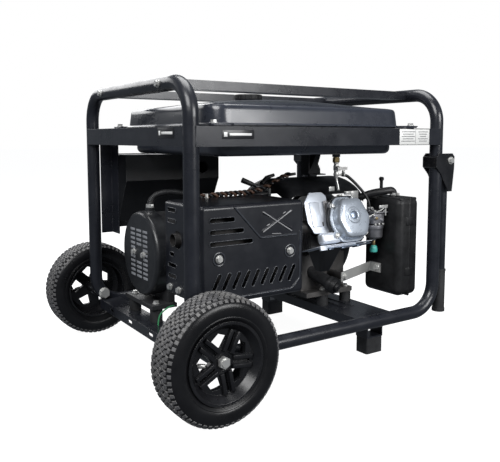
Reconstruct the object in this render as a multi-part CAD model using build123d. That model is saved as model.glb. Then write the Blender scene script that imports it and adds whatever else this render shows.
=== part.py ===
from build123d import *
import os
from math import cos, sin, radians, sqrt

# Open-frame portable generator with a two-wheel transport kit, in millimetres, +Z up.
#   -Y  exhaust side: muffler, valve cover and carburettor      +Y  panel side: control box
#   -X  wheel end: axle bolts, alternator                       +X  handle end: folding arms, air cleaner
# While it is modelled, X = 0 and Y = 0 are the middle of the tube frame and Z = 0 is the ground.
# Every piece is then moved by ORIGIN_X, so the origin is the bottom centre of the whole object.

# ---------------------------------------------------------------- driving dimensions
# Tube frame
TUBE_R = 16.0             # radius of the frame tube
TUBE_WALL = 2.0
FRAME_X = 351.0           # from the middle to each end's tubes
FRAME_Y = 274.0           # from the middle to each side's tubes
FRAME_BOTTOM = 100.0      # height of the bottom tubes' centreline
FRAME_TOP = 651.0         # height of the top tubes' centreline
FRAME_BEND = 70.0         # centreline radius of the frame's bends

# Tank rails and top bars
RAIL_TOP = 564.0
RAIL_HEIGHT = 40.0
RAIL_DEPTH = 26.0
BAR_WALL = 2.0
TOP_BAR_Y = 165.0
TOP_BAR_WIDTH = 40.0
TOP_BAR_HEIGHT = 20.0
TOP_BAR_PLUG = 30.0       # solid length at each end of a top bar, tapped for its bolt

# Cross channels, feet and rubber mounts
CHANNEL_TOP = 108.0
CHANNEL_HEIGHT = 24.0
CHANNEL_WALL = 3.0
ENGINE_CHANNEL_X = (104.0, 220.0)
AXLE_CHANNEL_X = (-345.0, -290.0)
FOOT_Y = 212.0
FOOT_LENGTH = 54.0
FOOT_WIDTH = 40.0
FOOT_HEIGHT = 40.0        # height of the rubber block
FOOT_WALL = 4.0
MOUNT_R = 15.0            # rubber mounts under the engine and the alternator

# Transport wheels
TYRE_R = 125.0
TYRE_WIDTH = 80.0
TYRE_BORE_R = 78.0
WHEEL_GAP = 14.0          # between a tyre and its frame tube
WHEEL_X = -336.0
AXLE_R = 8.0
AXLE_CLEARANCE = 0.05     # running fit of the hubs on their axle bolts
HUB_R = 17.0
HUB_LENGTH = 60.0
SPOKE_COUNT = 5

# Folding handles
ARM_R = 14.0
ARM_WALL = 2.0
ARM_OUT = 34.0            # from the frame tube's centreline to the arm's, along X
ARM_IN = 7.0              # how far the arm hangs inboard of the frame tube
ARM_PIVOT_Z = 484.0
ARM_BOTTOM_Z = 88.0
GRIP_R = 16.5
GRIP_LENGTH = 112.0
PIVOT_R = 4.0
PIVOT_CLEARANCE = 0.06    # running fit of the arms on their pivot bolts
BRACKET_WALL = 3.0

# Fuel tank
TANK_X = 280.0            # half length of the upper shell
TANK_Y = 230.0            # half width of the upper shell
TANK_WALL = 1.5
TANK_BOTTOM = 502.0
TANK_SEAM = 568.5         # where the two shells' flanges meet
TANK_FLANGE = 2.5         # thickness of each flange
TANK_FLANGE_OUT = 8.0
TANK_SHOULDER = 600.0
TANK_END_TOP = 614.0
TANK_CROWN = 636.0
TANK_CORNER_R = 40.0
TANK_BOLT_X = 285.0
TANK_BOLT_Y = 247.0
FILLER_X = -40.0
FILLER_R = 27.0
CAP_R = 36.0
CAP_CLEARANCE = 1.0

# Fuel tap and hose
TAP_X = 126.0
TAP_Y = -150.0
TAP_NUT_R = 9.5
TAP_BODY_R = 7.0
HOSE_R = 3.8

# Crank axis, cylinder and head
CRANK_Y = 55.0
CRANK_Z = 263.0
SHAFT_R = 17.5
SHAFT_CLEARANCE = 0.05
CYLINDER_X = 138.0
CYLINDER_TILT = 18.0      # degrees above horizontal, towards the exhaust side
BORE_R = 44.0
STROKE = 64.0
FIN_COUNT = 9
FIN_PITCH = 9.0
FIN_THICKNESS = 3.0
DECK = 88.0               # distance of the cylinder's foot from the crank axis
HEAD_FACE = 246.0         # distance of the valve cover's joint from the crank axis
COVER_DEPTH = 54.0

# Crankcase
CASE_X = (58.0, 212.0)
CASE_R = DECK              # the crank chamber rounds off into the deck
CASE_WALL = 8.0
CASE_FRONT = -92.0
BASE_BOTTOM = 135.0
BASE_TOP = 147.0
CASE_BACK = 140.0
BASE_Y = (-122.0, 168.0)

# Fan shroud and recoil starter
SHROUD_R = 130.0
SHROUD_END = 252.0
SHEET = 3.0
HOOD_CROWN = 440.0
FLYWHEEL_R = 116.0
RECOIL_R = 95.0
RECOIL_DEPTH = 38.0
REEL_R = 60.0
GRIP_Z = 318.0

# Alternator
ALTERNATOR_R = 98.0
ALTERNATOR_END = -285.0
ALTERNATOR_WALL = 6.0
ROTOR_R = 62.0
AIR_GAP = 2.0
END_COVER_R = 102.0
END_COVER_FACE = -320.0
END_COVER_WALL = 2.5
VENT_PITCH = 11.2

# Muffler and its guard
GUARD_X = (-300.0, -31.0)
GUARD_Y = (-220.0, -52.0)
GUARD_Z = (187.0, 400.0)
GUARD_EDGE_R = 9.0
GUARD_SHEET = 1.5
MUFFLER_X = (-270.0, -60.0)
MUFFLER_Y = (-195.0, -85.0)
MUFFLER_Z = (220.0, 372.0)
OUTLET_Y = -112.0
OUTLET_Z = 317.0
OUTLET_R = 15.0
OUTLET_WALL = 1.5
OUTLET_TIP = -312.0
RIB_R = 2.3

# Carburettor, air cleaner and breather
CARB_X = 222.0
CARB_Y = -190.0
CARB_Z = 335.0
THROAT_Y = -162.0          # centreline of the intake, from the head to the air cleaner
BOWL_R = 23.0
AIR_BOX_X = (252.0, 326.0)
AIR_BOX_Y = (-248.0, -121.0)
AIR_BOX_Z = (137.0, 390.0)
AIR_BOX_EDGE_R = 14.0
AIR_BOX_WALL = 2.5
BREATHER_R = 9.5

# Oil filler
NECK_START = (100.0, CASE_FRONT, 192.0)
NECK_RUN = (0.35, -0.85, -0.39)
NECK_LENGTH = 62.0
NECK_R = 16.0
OIL_CAP_R = 21.0

# Control box and panel
BOX_X = (-300.0, -24.0)
BOX_BACK = 175.0
BOX_FRONT = 285.0
BOX_Z = (305.0, 497.0)
BOX_FOOT_BACK = 234.0     # the back slopes in to this depth at the bottom
BOX_WALL = 2.0
PANEL_THICKNESS = 3.0
ROCKER_DEPTH = 1.5         # the rockers' pins lie this far behind the panel's face
ROCKER_PIN_R = 1.2
ROCKER_GAP = 0.05
PANEL_GAP = 0.3

# Fasteners
BOLT_R = 4.0              # M8 flange bolts
BAR_BOLT_R = 4.0          # M8 bolts of the top bars
HOLE_CLEARANCE = 0.2

# ---------------------------------------------------------------- worked-out places
RAIL_BOTTOM = RAIL_TOP - RAIL_HEIGHT
RAIL_OUTER_Y = FRAME_Y + TUBE_R
RAIL_OUTER_X = FRAME_X + TUBE_R
RAIL_INNER_Y = RAIL_OUTER_Y - RAIL_DEPTH
WHEEL_Z = TYRE_R
TYRE_INNER_Y = FRAME_Y + TUBE_R + WHEEL_GAP
TYRE_MIDDLE_Y = TYRE_INNER_Y + TYRE_WIDTH / 2
ARM_X = FRAME_X + ARM_OUT
ARM_Y = FRAME_Y - ARM_IN
TANK_FLANGE_TOP = TANK_SEAM + TANK_FLANGE
ORIGIN_X = ((WHEEL_X - TYRE_R) + (ARM_X + GRIP_R)) / 2
SIDES = {"exhaust_side": -1, "panel_side": 1}
CYLINDER_PLANE = Plane(
    origin=(CYLINDER_X, CRANK_Y, CRANK_Z),
    x_dir=(1, 0, 0),
    z_dir=(0, -cos(radians(CYLINDER_TILT)), sin(radians(CYLINDER_TILT))),
)
BOTTOM_UP = (Align.CENTER, Align.CENTER, Align.MIN)
TOP_DOWN = (Align.CENTER, Align.CENTER, Align.MAX)


# ---------------------------------------------------------------- helpers
def block(x, y, z):
    """A box between the (low, high) pairs of its three axes."""
    size = [pair[1] - pair[0] for pair in (x, y, z)]
    middle = [(pair[1] + pair[0]) / 2 for pair in (x, y, z)]
    return Pos(*middle) * Box(*size)


def rod(start, end, radius):
    """A round bar from one point to another."""
    run = Vector(*end) - Vector(*start)
    return Plane(origin=start, z_dir=run) * Cylinder(radius, run.length, align=BOTTOM_UP)


def pipe(start, end, radius, bore):
    """A straight tube from one point to another."""
    return rod(start, end, radius) - rod(start, end, bore)


def bent_rod(points, bends, radius):
    """A round bar along straight runs joined by arcs."""
    path = FilletPolyline(*points, radius=bends)
    return sweep(Plane(origin=path @ 0, z_dir=path % 0) * Circle(radius), path=path)


def limp_bends(points):
    """The largest even arcs that a cord's runs leave room for, one for each inner point."""
    bends = []
    for before, here, after in zip(points, points[1:], points[2:]):
        run_in = Vector(*here) - Vector(*before)
        run_out = Vector(*after) - Vector(*here)
        half_turn = radians(run_in.get_angle(run_out)) / 2
        bends.append(0.45 * min(run_in.length, run_out.length) / (sin(half_turn) / cos(half_turn)))
    return bends


def outline(points):
    """A flat face inside a closed run of straight lines."""
    return make_face(Polyline(*points, close=True))


def at_y(y):
    """A drawing plane across Y: its first axis is X, its second Z, and it faces -Y."""
    return Plane.XZ.offset(-y)


def at_x(x):
    """A drawing plane across X: its first axis is Y, its second Z, and it faces +X."""
    return Plane.YZ.offset(x)


def slot(length, width):
    """A slot's outline, lying along the first axis."""
    return SlotOverall(length, width)


def group(pieces):
    """Separate solids that share one node."""
    return Compound(children=[solid for piece in pieces for solid in piece.solids()])


def flange_bolt(seat, into, length, radius=BOLT_R):
    """A hexagon bolt with a flange, its head on the seat and its shank along `into`."""
    place = Plane(origin=seat, z_dir=into)
    shank = place * Cylinder(radius, length, align=BOTTOM_UP)
    flange = place * Cylinder(radius * 2.1, radius * 0.5, align=TOP_DOWN)
    head = place * extrude(RegularPolygon(radius * 1.7, 6), amount=-radius * 1.7)
    return shank + flange + head


# ---------------------------------------------------------------- flange bolts: seat, direction, length
TANK_BOLTS = [
    ((sx * TANK_BOLT_X, sy * TANK_BOLT_Y, TANK_FLANGE_TOP), (0, 0, -1), 16.0) for sx in (-1, 1) for sy in (-1, 1)
]
GUARD_FRONT_BOLTS = [
    ((x, GUARD_Y[0], GUARD_Z[0] + 99.5), (0, 1, 0), 20.0) for x in (GUARD_X[0] + 42, GUARD_X[1] - 40)
]
GUARD_END_BOLTS = [((GUARD_X[0], y, GUARD_Z[0] + 18), (1, 0, 0), 10.0) for y in (OUTLET_Y - 6, OUTLET_Y + 37)]
ENGINE_BOLTS = [
    ((x, y, BASE_TOP), (0, 0, -1), BASE_TOP - CHANNEL_TOP + CHANNEL_WALL + 8)
    for x in (ENGINE_CHANNEL_X[0] + 16, CASE_X[1] - 14)
    for y in (BASE_Y[0] + 12, BASE_Y[1] - 12)
]
FOOT_PLATE = (140.0, 150.0)
ALTERNATOR_BOLTS = [
    (((AXLE_CHANNEL_X[0] + AXLE_CHANNEL_X[1]) / 2 + 12, CRANK_Y + dy, FOOT_PLATE[1]), (0, 0, -1),
     FOOT_PLATE[1] - CHANNEL_TOP + CHANNEL_WALL + 8)
    for dy in (-62, 62)
]
COVER_BOLTS = [
    ((END_COVER_FACE, CRANK_Y + dy, CRANK_Z), (1, 0, 0), ALTERNATOR_END - END_COVER_FACE + 7) for dy in (-28, 28)
]
STRAP_Y = -150.0
STRAP_Z = (184.0, 203.0)
STRAP_X = (161.0, AIR_BOX_X[0] - SHEET)
STRAP_BOLTS = [
    ((STRAP_X[0], STRAP_Y - SHEET / 2, STRAP_Z[0]), (0, 1, 0), 22.0),
    ((STRAP_X[1], STRAP_Y - 24, STRAP_Z[1]), (1, 0, 0), 14.0),
]
FLANGE_BOLTS = (
    TANK_BOLTS + GUARD_FRONT_BOLTS + GUARD_END_BOLTS + ENGINE_BOLTS + ALTERNATOR_BOLTS + COVER_BOLTS + STRAP_BOLTS
)


def drilled(piece, bolts):
    """The piece with a clearance hole for each bolt."""
    for seat, into, length in bolts:
        reach = Vector(*into) * (length + 1)
        start = Vector(*seat) - Vector(*into)
        piece -= rod(tuple(start), tuple(Vector(*seat) + reach), BOLT_R + HOLE_CLEARANCE)
    return piece


# ---------------------------------------------------------------- tube frame
def hoop_points(end):
    """Corners of one end's hoop: along the bottom, up, across the top, down and back."""
    x = end * FRAME_X
    return [
        (0, -FRAME_Y, FRAME_BOTTOM), (x, -FRAME_Y, FRAME_BOTTOM), (x, -FRAME_Y, FRAME_TOP),
        (x, FRAME_Y, FRAME_TOP), (x, FRAME_Y, FRAME_BOTTOM), (0, FRAME_Y, FRAME_BOTTOM),
    ]


HOOPS = {end: bent_rod(hoop_points(end), FRAME_BEND, TUBE_R) for end in (-1, 1)}


def bar_bolt_places():
    """Seat and direction of the four bolts that hold the top bars to the hoops."""
    return [((end * RAIL_OUTER_X, side * TOP_BAR_Y, FRAME_TOP), (-end, 0, 0)) for end in (-1, 1) for side in (-1, 1)]


def hoop(end):
    """One end's tube, bent from a single length, with its bolt and axle holes."""
    tube = HOOPS[end] - bent_rod(hoop_points(end), FRAME_BEND, TUBE_R - TUBE_WALL)
    for seat, into in bar_bolt_places():
        if seat[0] * end > 0:
            far = tuple(Vector(*seat) + Vector(*into) * 3 * TUBE_R)
            tube -= rod(seat, far, BAR_BOLT_R + HOLE_CLEARANCE)
    if end < 0:
        axle = rod((WHEEL_X, -2 * FRAME_Y, WHEEL_Z), (WHEEL_X, 2 * FRAME_Y, WHEEL_Z), AXLE_R + HOLE_CLEARANCE)
        tube -= axle
    return tube


def box_tube(x, y, z, along):
    """A rectangular tube, open at both ends of the axis it runs along."""
    spans = [x, y, z]
    inner = [(low + BAR_WALL, high - BAR_WALL) for low, high in spans]
    inner[along] = spans[along]
    return block(*spans) - block(*inner)


def coped(piece):
    """The piece with its ends cut to fit round the frame tubes."""
    for end in (-1, 1):
        piece -= HOOPS[end]
    return piece


def tank_rails():
    """Four rectangular tubes that ring the tank, with the long ones' tabs for its bolts."""
    rails = []
    for side in (-1, 1):
        across = sorted((side * RAIL_OUTER_Y, side * RAIL_INNER_Y))
        long_rail = box_tube((-FRAME_X, FRAME_X), across, (RAIL_BOTTOM, RAIL_TOP), 0)
        for end in (-1, 1):
            x = sorted((end * (TANK_BOLT_X - 18), end * (TANK_BOLT_X + 18)))
            y = sorted((side * RAIL_INNER_Y, side * (TANK_BOLT_Y - 10)))
            long_rail += block(x, y, (RAIL_TOP - BAR_WALL * 2, RAIL_TOP))
        rails.append(drilled(coped(long_rail), TANK_BOLTS))
    for end in (-1, 1):
        across = sorted((end * RAIL_OUTER_X, end * (RAIL_OUTER_X - RAIL_DEPTH)))
        rails.append(coped(box_tube(across, (-FRAME_Y, FRAME_Y), (RAIL_BOTTOM, RAIL_TOP), 1)))
    return group(rails)


def top_bars():
    """Two flat rectangular tubes between the hoops, plugged at their ends for the bolts."""
    bars = []
    half = TOP_BAR_HEIGHT / 2
    for side in (-1, 1):
        y = side * TOP_BAR_Y
        bar = block((-FRAME_X, FRAME_X), (y - TOP_BAR_WIDTH / 2, y + TOP_BAR_WIDTH / 2),
                    (FRAME_TOP - half, FRAME_TOP + half))
        reach = FRAME_X - TUBE_R - TOP_BAR_PLUG
        bar -= block((-reach, reach), (y - TOP_BAR_WIDTH / 2 + BAR_WALL, y + TOP_BAR_WIDTH / 2 - BAR_WALL),
                     (FRAME_TOP - half + BAR_WALL, FRAME_TOP + half - BAR_WALL))
        bar = coped(bar)
        for seat, into in bar_bolt_places():
            if seat[1] * side > 0:
                far = tuple(Vector(*seat) + Vector(*into) * (2 * TUBE_R + TOP_BAR_PLUG - 4))
                bar -= rod(seat, far, BAR_BOLT_R + HOLE_CLEARANCE)
        bars.append(bar)
    return group(bars)


def top_bar_bolts():
    """Plated bolts through the hoops into the top bars."""
    return group([flange_bolt(seat, into, 2 * TUBE_R + 18, BAR_BOLT_R) for seat, into in bar_bolt_places()])


def channel(x):
    """A pressed channel across the frame, open side down, with its ends on the tubes."""
    inner = FRAME_Y - TUBE_R + 4
    bottom = CHANNEL_TOP - CHANNEL_HEIGHT
    body = block(x, (-inner, inner), (bottom, CHANNEL_TOP))
    body -= block((x[0] + CHANNEL_WALL, x[1] - CHANNEL_WALL), (-inner, inner), (bottom, CHANNEL_TOP - CHANNEL_WALL))
    return body


def cross_channels():
    """The engine's channel with two stiffening beads, and the wheel end's with slots."""
    engine = channel(ENGINE_CHANNEL_X)
    width = ENGINE_CHANNEL_X[1] - ENGINE_CHANNEL_X[0]
    for share in (0.38, 0.62):
        x = ENGINE_CHANNEL_X[0] + share * width
        engine += block((x - 4, x + 4), (-FOOT_Y + 45, FOOT_Y - 45), (CHANNEL_TOP, CHANNEL_TOP + 2))
    axle = channel(AXLE_CHANNEL_X)
    for y in (-180, -60, 60, 180):
        cut = extrude(at_x(AXLE_CHANNEL_X[0]) * Pos(y, CHANNEL_TOP - CHANNEL_HEIGHT / 2) * slot(26, 8),
                      amount=CHANNEL_WALL)
        axle -= cut
    return group([drilled(coped(engine), ENGINE_BOLTS), drilled(coped(axle), ALTERNATOR_BOLTS)])


def foot_x():
    """The two ends of a foot, the outer one against the engine channel's web."""
    end = ENGINE_CHANNEL_X[1] - CHANNEL_WALL
    return (end - FOOT_LENGTH, end)


def frame_brackets():
    """Two U brackets over the feet, and the angle that the control box hangs from."""
    pieces = []
    low, high = foot_x()
    for side in (-1, 1):
        y = (side * FOOT_Y - FOOT_WIDTH / 2, side * FOOT_Y + FOOT_WIDTH / 2)
        bracket = block((low, high), y, (FOOT_HEIGHT, CHANNEL_TOP - CHANNEL_WALL))
        bracket -= block((low + FOOT_WALL, high - FOOT_WALL), y, (FOOT_HEIGHT + FOOT_WALL, CHANNEL_TOP))
        pieces.append(bracket)
    post_x = (BOX_X[0] - BRACKET_WALL, BOX_X[0])
    post_y = (BOX_BACK + 50, RAIL_INNER_Y + 8)
    angle = block(post_x, post_y, (BOX_Z[0] - 18, RAIL_BOTTOM))
    angle += block((post_x[0] - 30, post_x[1]), (post_y[1] - BRACKET_WALL, post_y[1]), (BOX_Z[0] - 18, RAIL_BOTTOM))
    pieces.append(angle)
    return group(pieces)


def rubber_feet():
    """The two blocks that the handle end stands on."""
    low, high = foot_x()
    blocks = []
    for side in (-1, 1):
        y = (side * FOOT_Y - FOOT_WIDTH / 2, side * FOOT_Y + FOOT_WIDTH / 2)
        foot = block((low, high), y, (0, FOOT_HEIGHT))
        blocks.append(fillet(foot.edges().filter_by(Axis.Z), FOOT_WIDTH / 8))
    return group(blocks)


def rubber_mounts():
    """Bobbins under the engine and alternator, and the washers under the tank's ears."""
    pieces = []
    for bolts, top in ((ENGINE_BOLTS, BASE_BOTTOM), (ALTERNATOR_BOLTS, FOOT_PLATE[0])):
        for seat, _, _ in bolts:
            pieces.append(rod((seat[0], seat[1], CHANNEL_TOP), (seat[0], seat[1], top), MOUNT_R))
    for seat, _, _ in TANK_BOLTS:
        pieces.append(rod((seat[0], seat[1], RAIL_TOP), (seat[0], seat[1], TANK_SEAM - TANK_FLANGE), BOLT_R * 2.2))
    bolts = ENGINE_BOLTS + ALTERNATOR_BOLTS + TANK_BOLTS
    return group([drilled(piece, bolts) for piece in pieces])


# ---------------------------------------------------------------- wheels
def wheel_axle_bolts():
    """A bolt through each lower bend: head inside the frame, collar, then the hub and its nut."""
    bolts = []
    for side in (-1, 1):
        inner = side * (FRAME_Y - TUBE_R)
        outer = side * (FRAME_Y + TUBE_R)
        hub_end = side * (TYRE_INNER_Y + 0.5 + HUB_LENGTH + 0.5)

        def point(y):
            return (WHEEL_X, y, WHEEL_Z)

        bolt = rod(point(inner), point(hub_end + side * 12), AXLE_R)
        bolt += rod(point(inner), point(inner - side * 2.5), AXLE_R * 1.8)
        bolt += Plane(origin=point(inner), z_dir=(0, -side, 0)) * extrude(RegularPolygon(AXLE_R * 1.6, 6), amount=12)
        bolt += rod(point(outer), point(side * TYRE_INNER_Y), AXLE_R * 1.5)
        bolt += Plane(origin=point(hub_end), z_dir=(0, side, 0)) * extrude(RegularPolygon(AXLE_R * 1.5, 6), amount=9)
        bolts.append(bolt)
    return group(bolts)


def spun(side, points):
    """A ring about the axle: each point is (radius, distance outward from the wheel's middle)."""
    face = outline([(WHEEL_X + radius, side * (TYRE_MIDDLE_Y + out)) for radius, out in points])
    axle = Axis((WHEEL_X, 0, WHEEL_Z), (0, 1, 0))
    return revolve(Pos(0, 0, WHEEL_Z) * face, axis=axle)


def tyre(side):
    """The pneumatic tyre: a thick tread, rounded shoulders and beads on the rim."""
    half = TYRE_WIDTH / 2
    crown = TYRE_R - 9
    outer = [
        (TYRE_BORE_R, -half + 6), (TYRE_BORE_R + 4, -half + 6), (TYRE_BORE_R + 10, -half + 1.5),
        (crown - 16, -half), (crown, -half + 3),
        (TYRE_R - 2, -half + 11), (TYRE_R, -half + 20), (TYRE_R, half - 20), (TYRE_R - 2, half - 11),
        (crown, half - 3), (crown - 16, half), (TYRE_BORE_R + 10, half - 1.5), (TYRE_BORE_R + 4, half - 6),
        (TYRE_BORE_R, half - 6),
    ]
    cavity = [
        (TYRE_BORE_R - 1, -half + 16), (TYRE_BORE_R + 12, -half + 10), (crown - 10, -half + 10),
        (crown - 2, -half + 18), (crown - 2, half - 18), (crown - 10, half - 10), (TYRE_BORE_R + 12, half - 10),
        (TYRE_BORE_R - 1, half - 16),
    ]
    return spun(side, outer) - spun(side, cavity)


def rim(side):
    """The moulded rim: a dished barrel, a spoked disc with windows, and a hub on the axle bolt."""
    half = TYRE_WIDTH / 2
    hub_out = -half + 0.5 + HUB_LENGTH
    seat = TYRE_BORE_R - 0.05
    throat = seat - 15
    disc = (half - 28, half - 18)
    barrel = [
        (seat, -half + 5), (seat, half - 5), (seat + 2.5, half - 5), (seat + 2.5, half - 2), (seat - 3, half - 2),
        (throat, disc[1]), (throat, disc[0]), (seat - 4, disc[0] - 10), (seat - 4, -half + 5),
    ]
    wheel = spun(side, barrel)
    web = spun(side, [(HUB_R - 1, disc[0]), (throat + 1, disc[0]), (throat + 1, disc[1]), (HUB_R - 1, disc[1])])
    step = 360 / SPOKE_COUNT
    reach = throat - 6
    for index in range(SPOKE_COUNT):
        turn = 65 + index * step
        window = outline([(HUB_R + 8, 0), (reach * 0.80, -reach * 0.34), (reach, 0), (reach * 0.80, reach * 0.34)])
        groove = Pos((HUB_R + reach) / 2 + 3, 0) * slot(reach - HUB_R - 2, 4.5)
        for shape, angle, span in ((window, turn + step / 2, disc), (groove, turn, (disc[1] - 5, disc[1]))):
            low = side * (TYRE_MIDDLE_Y + span[0] - (1 if shape is window else 0))
            high = side * (TYRE_MIDDLE_Y + span[1] + 1)
            plane = Plane(origin=(WHEEL_X, low, WHEEL_Z), x_dir=(1, 0, 0), z_dir=(0, side, 0))
            web -= plane * Rot(0, 0, side * -angle) * extrude(shape, amount=abs(high - low))
    wheel += web
    wheel += spun(side, [(1, -half + 0.5), (HUB_R, -half + 0.5), (HUB_R, hub_out), (1, hub_out)])
    far = 2 * RAIL_OUTER_Y
    return wheel - rod((WHEEL_X, 0, WHEEL_Z), (WHEEL_X, side * far, WHEEL_Z), AXLE_R + AXLE_CLEARANCE)


# ---------------------------------------------------------------- folding handles
def bracket_y(side):
    """Outer and inner faces of a handle bracket across Y, outer one first."""
    return (side * (FRAME_Y + TUBE_R + BRACKET_WALL), side * (ARM_Y - ARM_R - 1.5 - BRACKET_WALL))


def handle_brackets():
    """A folded plate round each handle-end tube, with two ears that carry the arm's pivot."""
    pieces = []
    back = FRAME_X - TUBE_R - BRACKET_WALL
    front = ARM_X + 15
    top = ARM_PIVOT_Z + 18
    bottom = ARM_PIVOT_Z - 79
    shape = outline([
        (back, top - 34), (back, top - 10), (back + 10, top), (front - 8, top), (front, top - 8),
        (front, top - 36), (ARM_X + 8, bottom), (ARM_X - 6, bottom), (FRAME_X, bottom + 44),
    ])
    for side in (-1, 1):
        outer, inner = bracket_y(side)
        plate = extrude(at_y(max(outer, inner)) * shape, amount=abs(outer - inner))
        hollow = sorted((outer - side * BRACKET_WALL, inner + side * BRACKET_WALL))
        plate -= block((back + BRACKET_WALL, front + 1), hollow, (bottom - 1, top + 1))
        plate -= HOOPS[1]
        plate -= rod((ARM_X, 0, ARM_PIVOT_Z), (ARM_X, side * 2 * FRAME_Y, ARM_PIVOT_Z), PIVOT_R + HOLE_CLEARANCE)
        pieces.append(plate)
    return group(pieces)


def handle_pivot_bolts():
    """The bolts that the arms swing on, each with a head, a nut and a spacer beside the arm."""
    pieces = []
    for side in (-1, 1):
        outer, inner = bracket_y(side)

        def point(y):
            return (ARM_X, y, ARM_PIVOT_Z)

        bolt = rod(point(outer), point(inner - side * 9), PIVOT_R)
        bolt += rod(point(outer), point(outer + side * 2), PIVOT_R * 2.4)
        bolt += Plane(origin=point(outer), z_dir=(0, side, 0)) * extrude(RegularPolygon(PIVOT_R * 1.8, 6), amount=7)
        bolt += Plane(origin=point(inner), z_dir=(0, -side, 0)) * extrude(RegularPolygon(PIVOT_R * 1.8, 6), amount=7)
        spacer_end = side * (ARM_Y + ARM_R + 0.5)
        bolt += rod(point(outer - side * BRACKET_WALL), point(spacer_end), PIVOT_R * 1.7)
        pieces.append(bolt)
    return group(pieces)


def handle(side):
    """A straight arm that hangs from its pivot, open at the lower end where the grip fits on."""
    start = (ARM_X, side * ARM_Y, ARM_BOTTOM_Z + 4)
    end = (ARM_X, side * ARM_Y, ARM_PIVOT_Z + ARM_R - 6)
    arm = pipe(start, end, ARM_R, ARM_R - ARM_WALL)
    return arm - rod((ARM_X, 0, ARM_PIVOT_Z), (ARM_X, side * 2 * FRAME_Y, ARM_PIVOT_Z), PIVOT_R + PIVOT_CLEARANCE)


def handle_grip(side):
    """A closed rubber sleeve with a small flange at its upper end."""
    y = side * ARM_Y
    top = ARM_BOTTOM_Z + GRIP_LENGTH
    sleeve = rod((ARM_X, y, ARM_BOTTOM_Z), (ARM_X, y, top), GRIP_R - 1)
    sleeve += rod((ARM_X, y, top - 5), (ARM_X, y, top), GRIP_R)
    sleeve += rod((ARM_X, y, ARM_BOTTOM_Z), (ARM_X, y, ARM_BOTTOM_Z + 8), GRIP_R)
    return sleeve - rod((ARM_X, y, ARM_BOTTOM_Z + 4), (ARM_X, y, top), ARM_R)


# ---------------------------------------------------------------- fuel tank
def dome(inset):
    """The upper shell's outer form, or its hollow when the inset is the wall."""
    x = TANK_X - inset
    y = TANK_Y - inset
    end_top = TANK_END_TOP - inset
    crown = TANK_CROWN - inset
    shoulder = TANK_SHOULDER - inset / 2
    base = TANK_SEAM
    ends = Polyline((-x + 18, end_top), (-x, shoulder), (-x, base), (x, base), (x, shoulder), (x - 18, end_top))
    arch = ThreePointArc((-x + 18, end_top), (0, crown), (x - 18, end_top))
    along = extrude(Plane.XZ * make_face(ends + arch), amount=y, both=True)
    section = outline([
        (-y, base), (y, base), (y, shoulder), (y - 14, end_top + 3), (y - 70, crown + 1),
        (-y + 70, crown + 1), (-y + 14, end_top + 3), (-y, shoulder),
    ])
    across = extrude(Plane.YZ * section, amount=x, both=True)
    plan = Pos(0, 0, base) * extrude(RectangleRounded(2 * x, 2 * y, TANK_CORNER_R - inset), amount=crown + 2 - base)
    return along & across & plan


def flange_plan(out):
    """The seam flange's outline with an ear at each corner for a bolt."""
    plan = RectangleRounded(2 * (TANK_X - 8 + out), 2 * (TANK_Y - 8 + out), TANK_CORNER_R)
    for sx in (-1, 1):
        for sy in (-1, 1):
            x = sx * (TANK_BOLT_X - 14)
            plan += Pos(x, sy * (TANK_BOLT_Y - 14)) * RectangleRounded(56, 56, 10)
    return plan


def tank_upper_shell():
    """The crowned upper shell with its flange and filler neck."""
    shell = dome(0) + Pos(0, 0, TANK_SEAM) * extrude(flange_plan(TANK_FLANGE_OUT), amount=TANK_FLANGE)
    shell += rod((FILLER_X, 0, TANK_END_TOP), (FILLER_X, 0, TANK_CROWN + 10), FILLER_R)
    shell -= dome(TANK_WALL)
    shell -= rod((FILLER_X, 0, TANK_SEAM), (FILLER_X, 0, TANK_CROWN + 20), FILLER_R - 3)
    return drilled(shell, TANK_BOLTS)


def tank_lower_shell():
    """The shallow lower pan with its flange and the fuel tap's outlet."""
    x = TANK_X - 18
    y = TANK_Y - 8
    top = TANK_SEAM

    def pan(inset):
        body = Pos(0, 0, TANK_BOTTOM + inset) * extrude(
            RectangleRounded(2 * (x - inset), 2 * (y - inset), TANK_CORNER_R - inset), amount=top - TANK_BOTTOM - inset)
        return fillet(body.faces().sort_by(Axis.Z)[0].edges(), 14 - inset)

    flange = Pos(0, 0, TANK_SEAM) * extrude(flange_plan(TANK_FLANGE_OUT), amount=-TANK_FLANGE)
    shell = pan(0) + flange - pan(TANK_WALL)
    shell += rod((TAP_X, TAP_Y, TANK_BOTTOM - 8), (TAP_X, TAP_Y, TANK_BOTTOM + TANK_WALL), TAP_BODY_R + 3)
    shell -= rod((TAP_X, TAP_Y, TANK_BOTTOM - 9), (TAP_X, TAP_Y, TANK_BOTTOM + 9), TAP_BODY_R - 2)
    return drilled(shell, TANK_BOLTS)


def fuel_cap():
    """A ribbed cap over the filler neck."""
    low = TANK_CROWN + 1.5
    top = TANK_CROWN + 14
    cap = rod((FILLER_X, 0, low), (FILLER_X, 0, top), CAP_R)
    cap = fillet(cap.faces().sort_by(Axis.Z)[-1].edges(), 3)
    for index in range(16):
        turn = radians(index * 360 / 16)
        x = FILLER_X + (CAP_R + 0.8) * cos(turn)
        y = (CAP_R + 0.8) * sin(turn)
        cap -= rod((x, y, low), (x, y, top), 2.2)
    return cap - rod((FILLER_X, 0, low), (FILLER_X, 0, TANK_CROWN + 11), FILLER_R + CAP_CLEARANCE)


# ---------------------------------------------------------------- fuel tap and hose
TAP_TOP = TANK_BOTTOM - 8
TAP_NUT = (TAP_TOP - 16, TAP_TOP - 3)
TAP_LEVER_Z = TAP_TOP - 29
TAP_OUTLET_Z = TAP_TOP - 46


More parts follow.
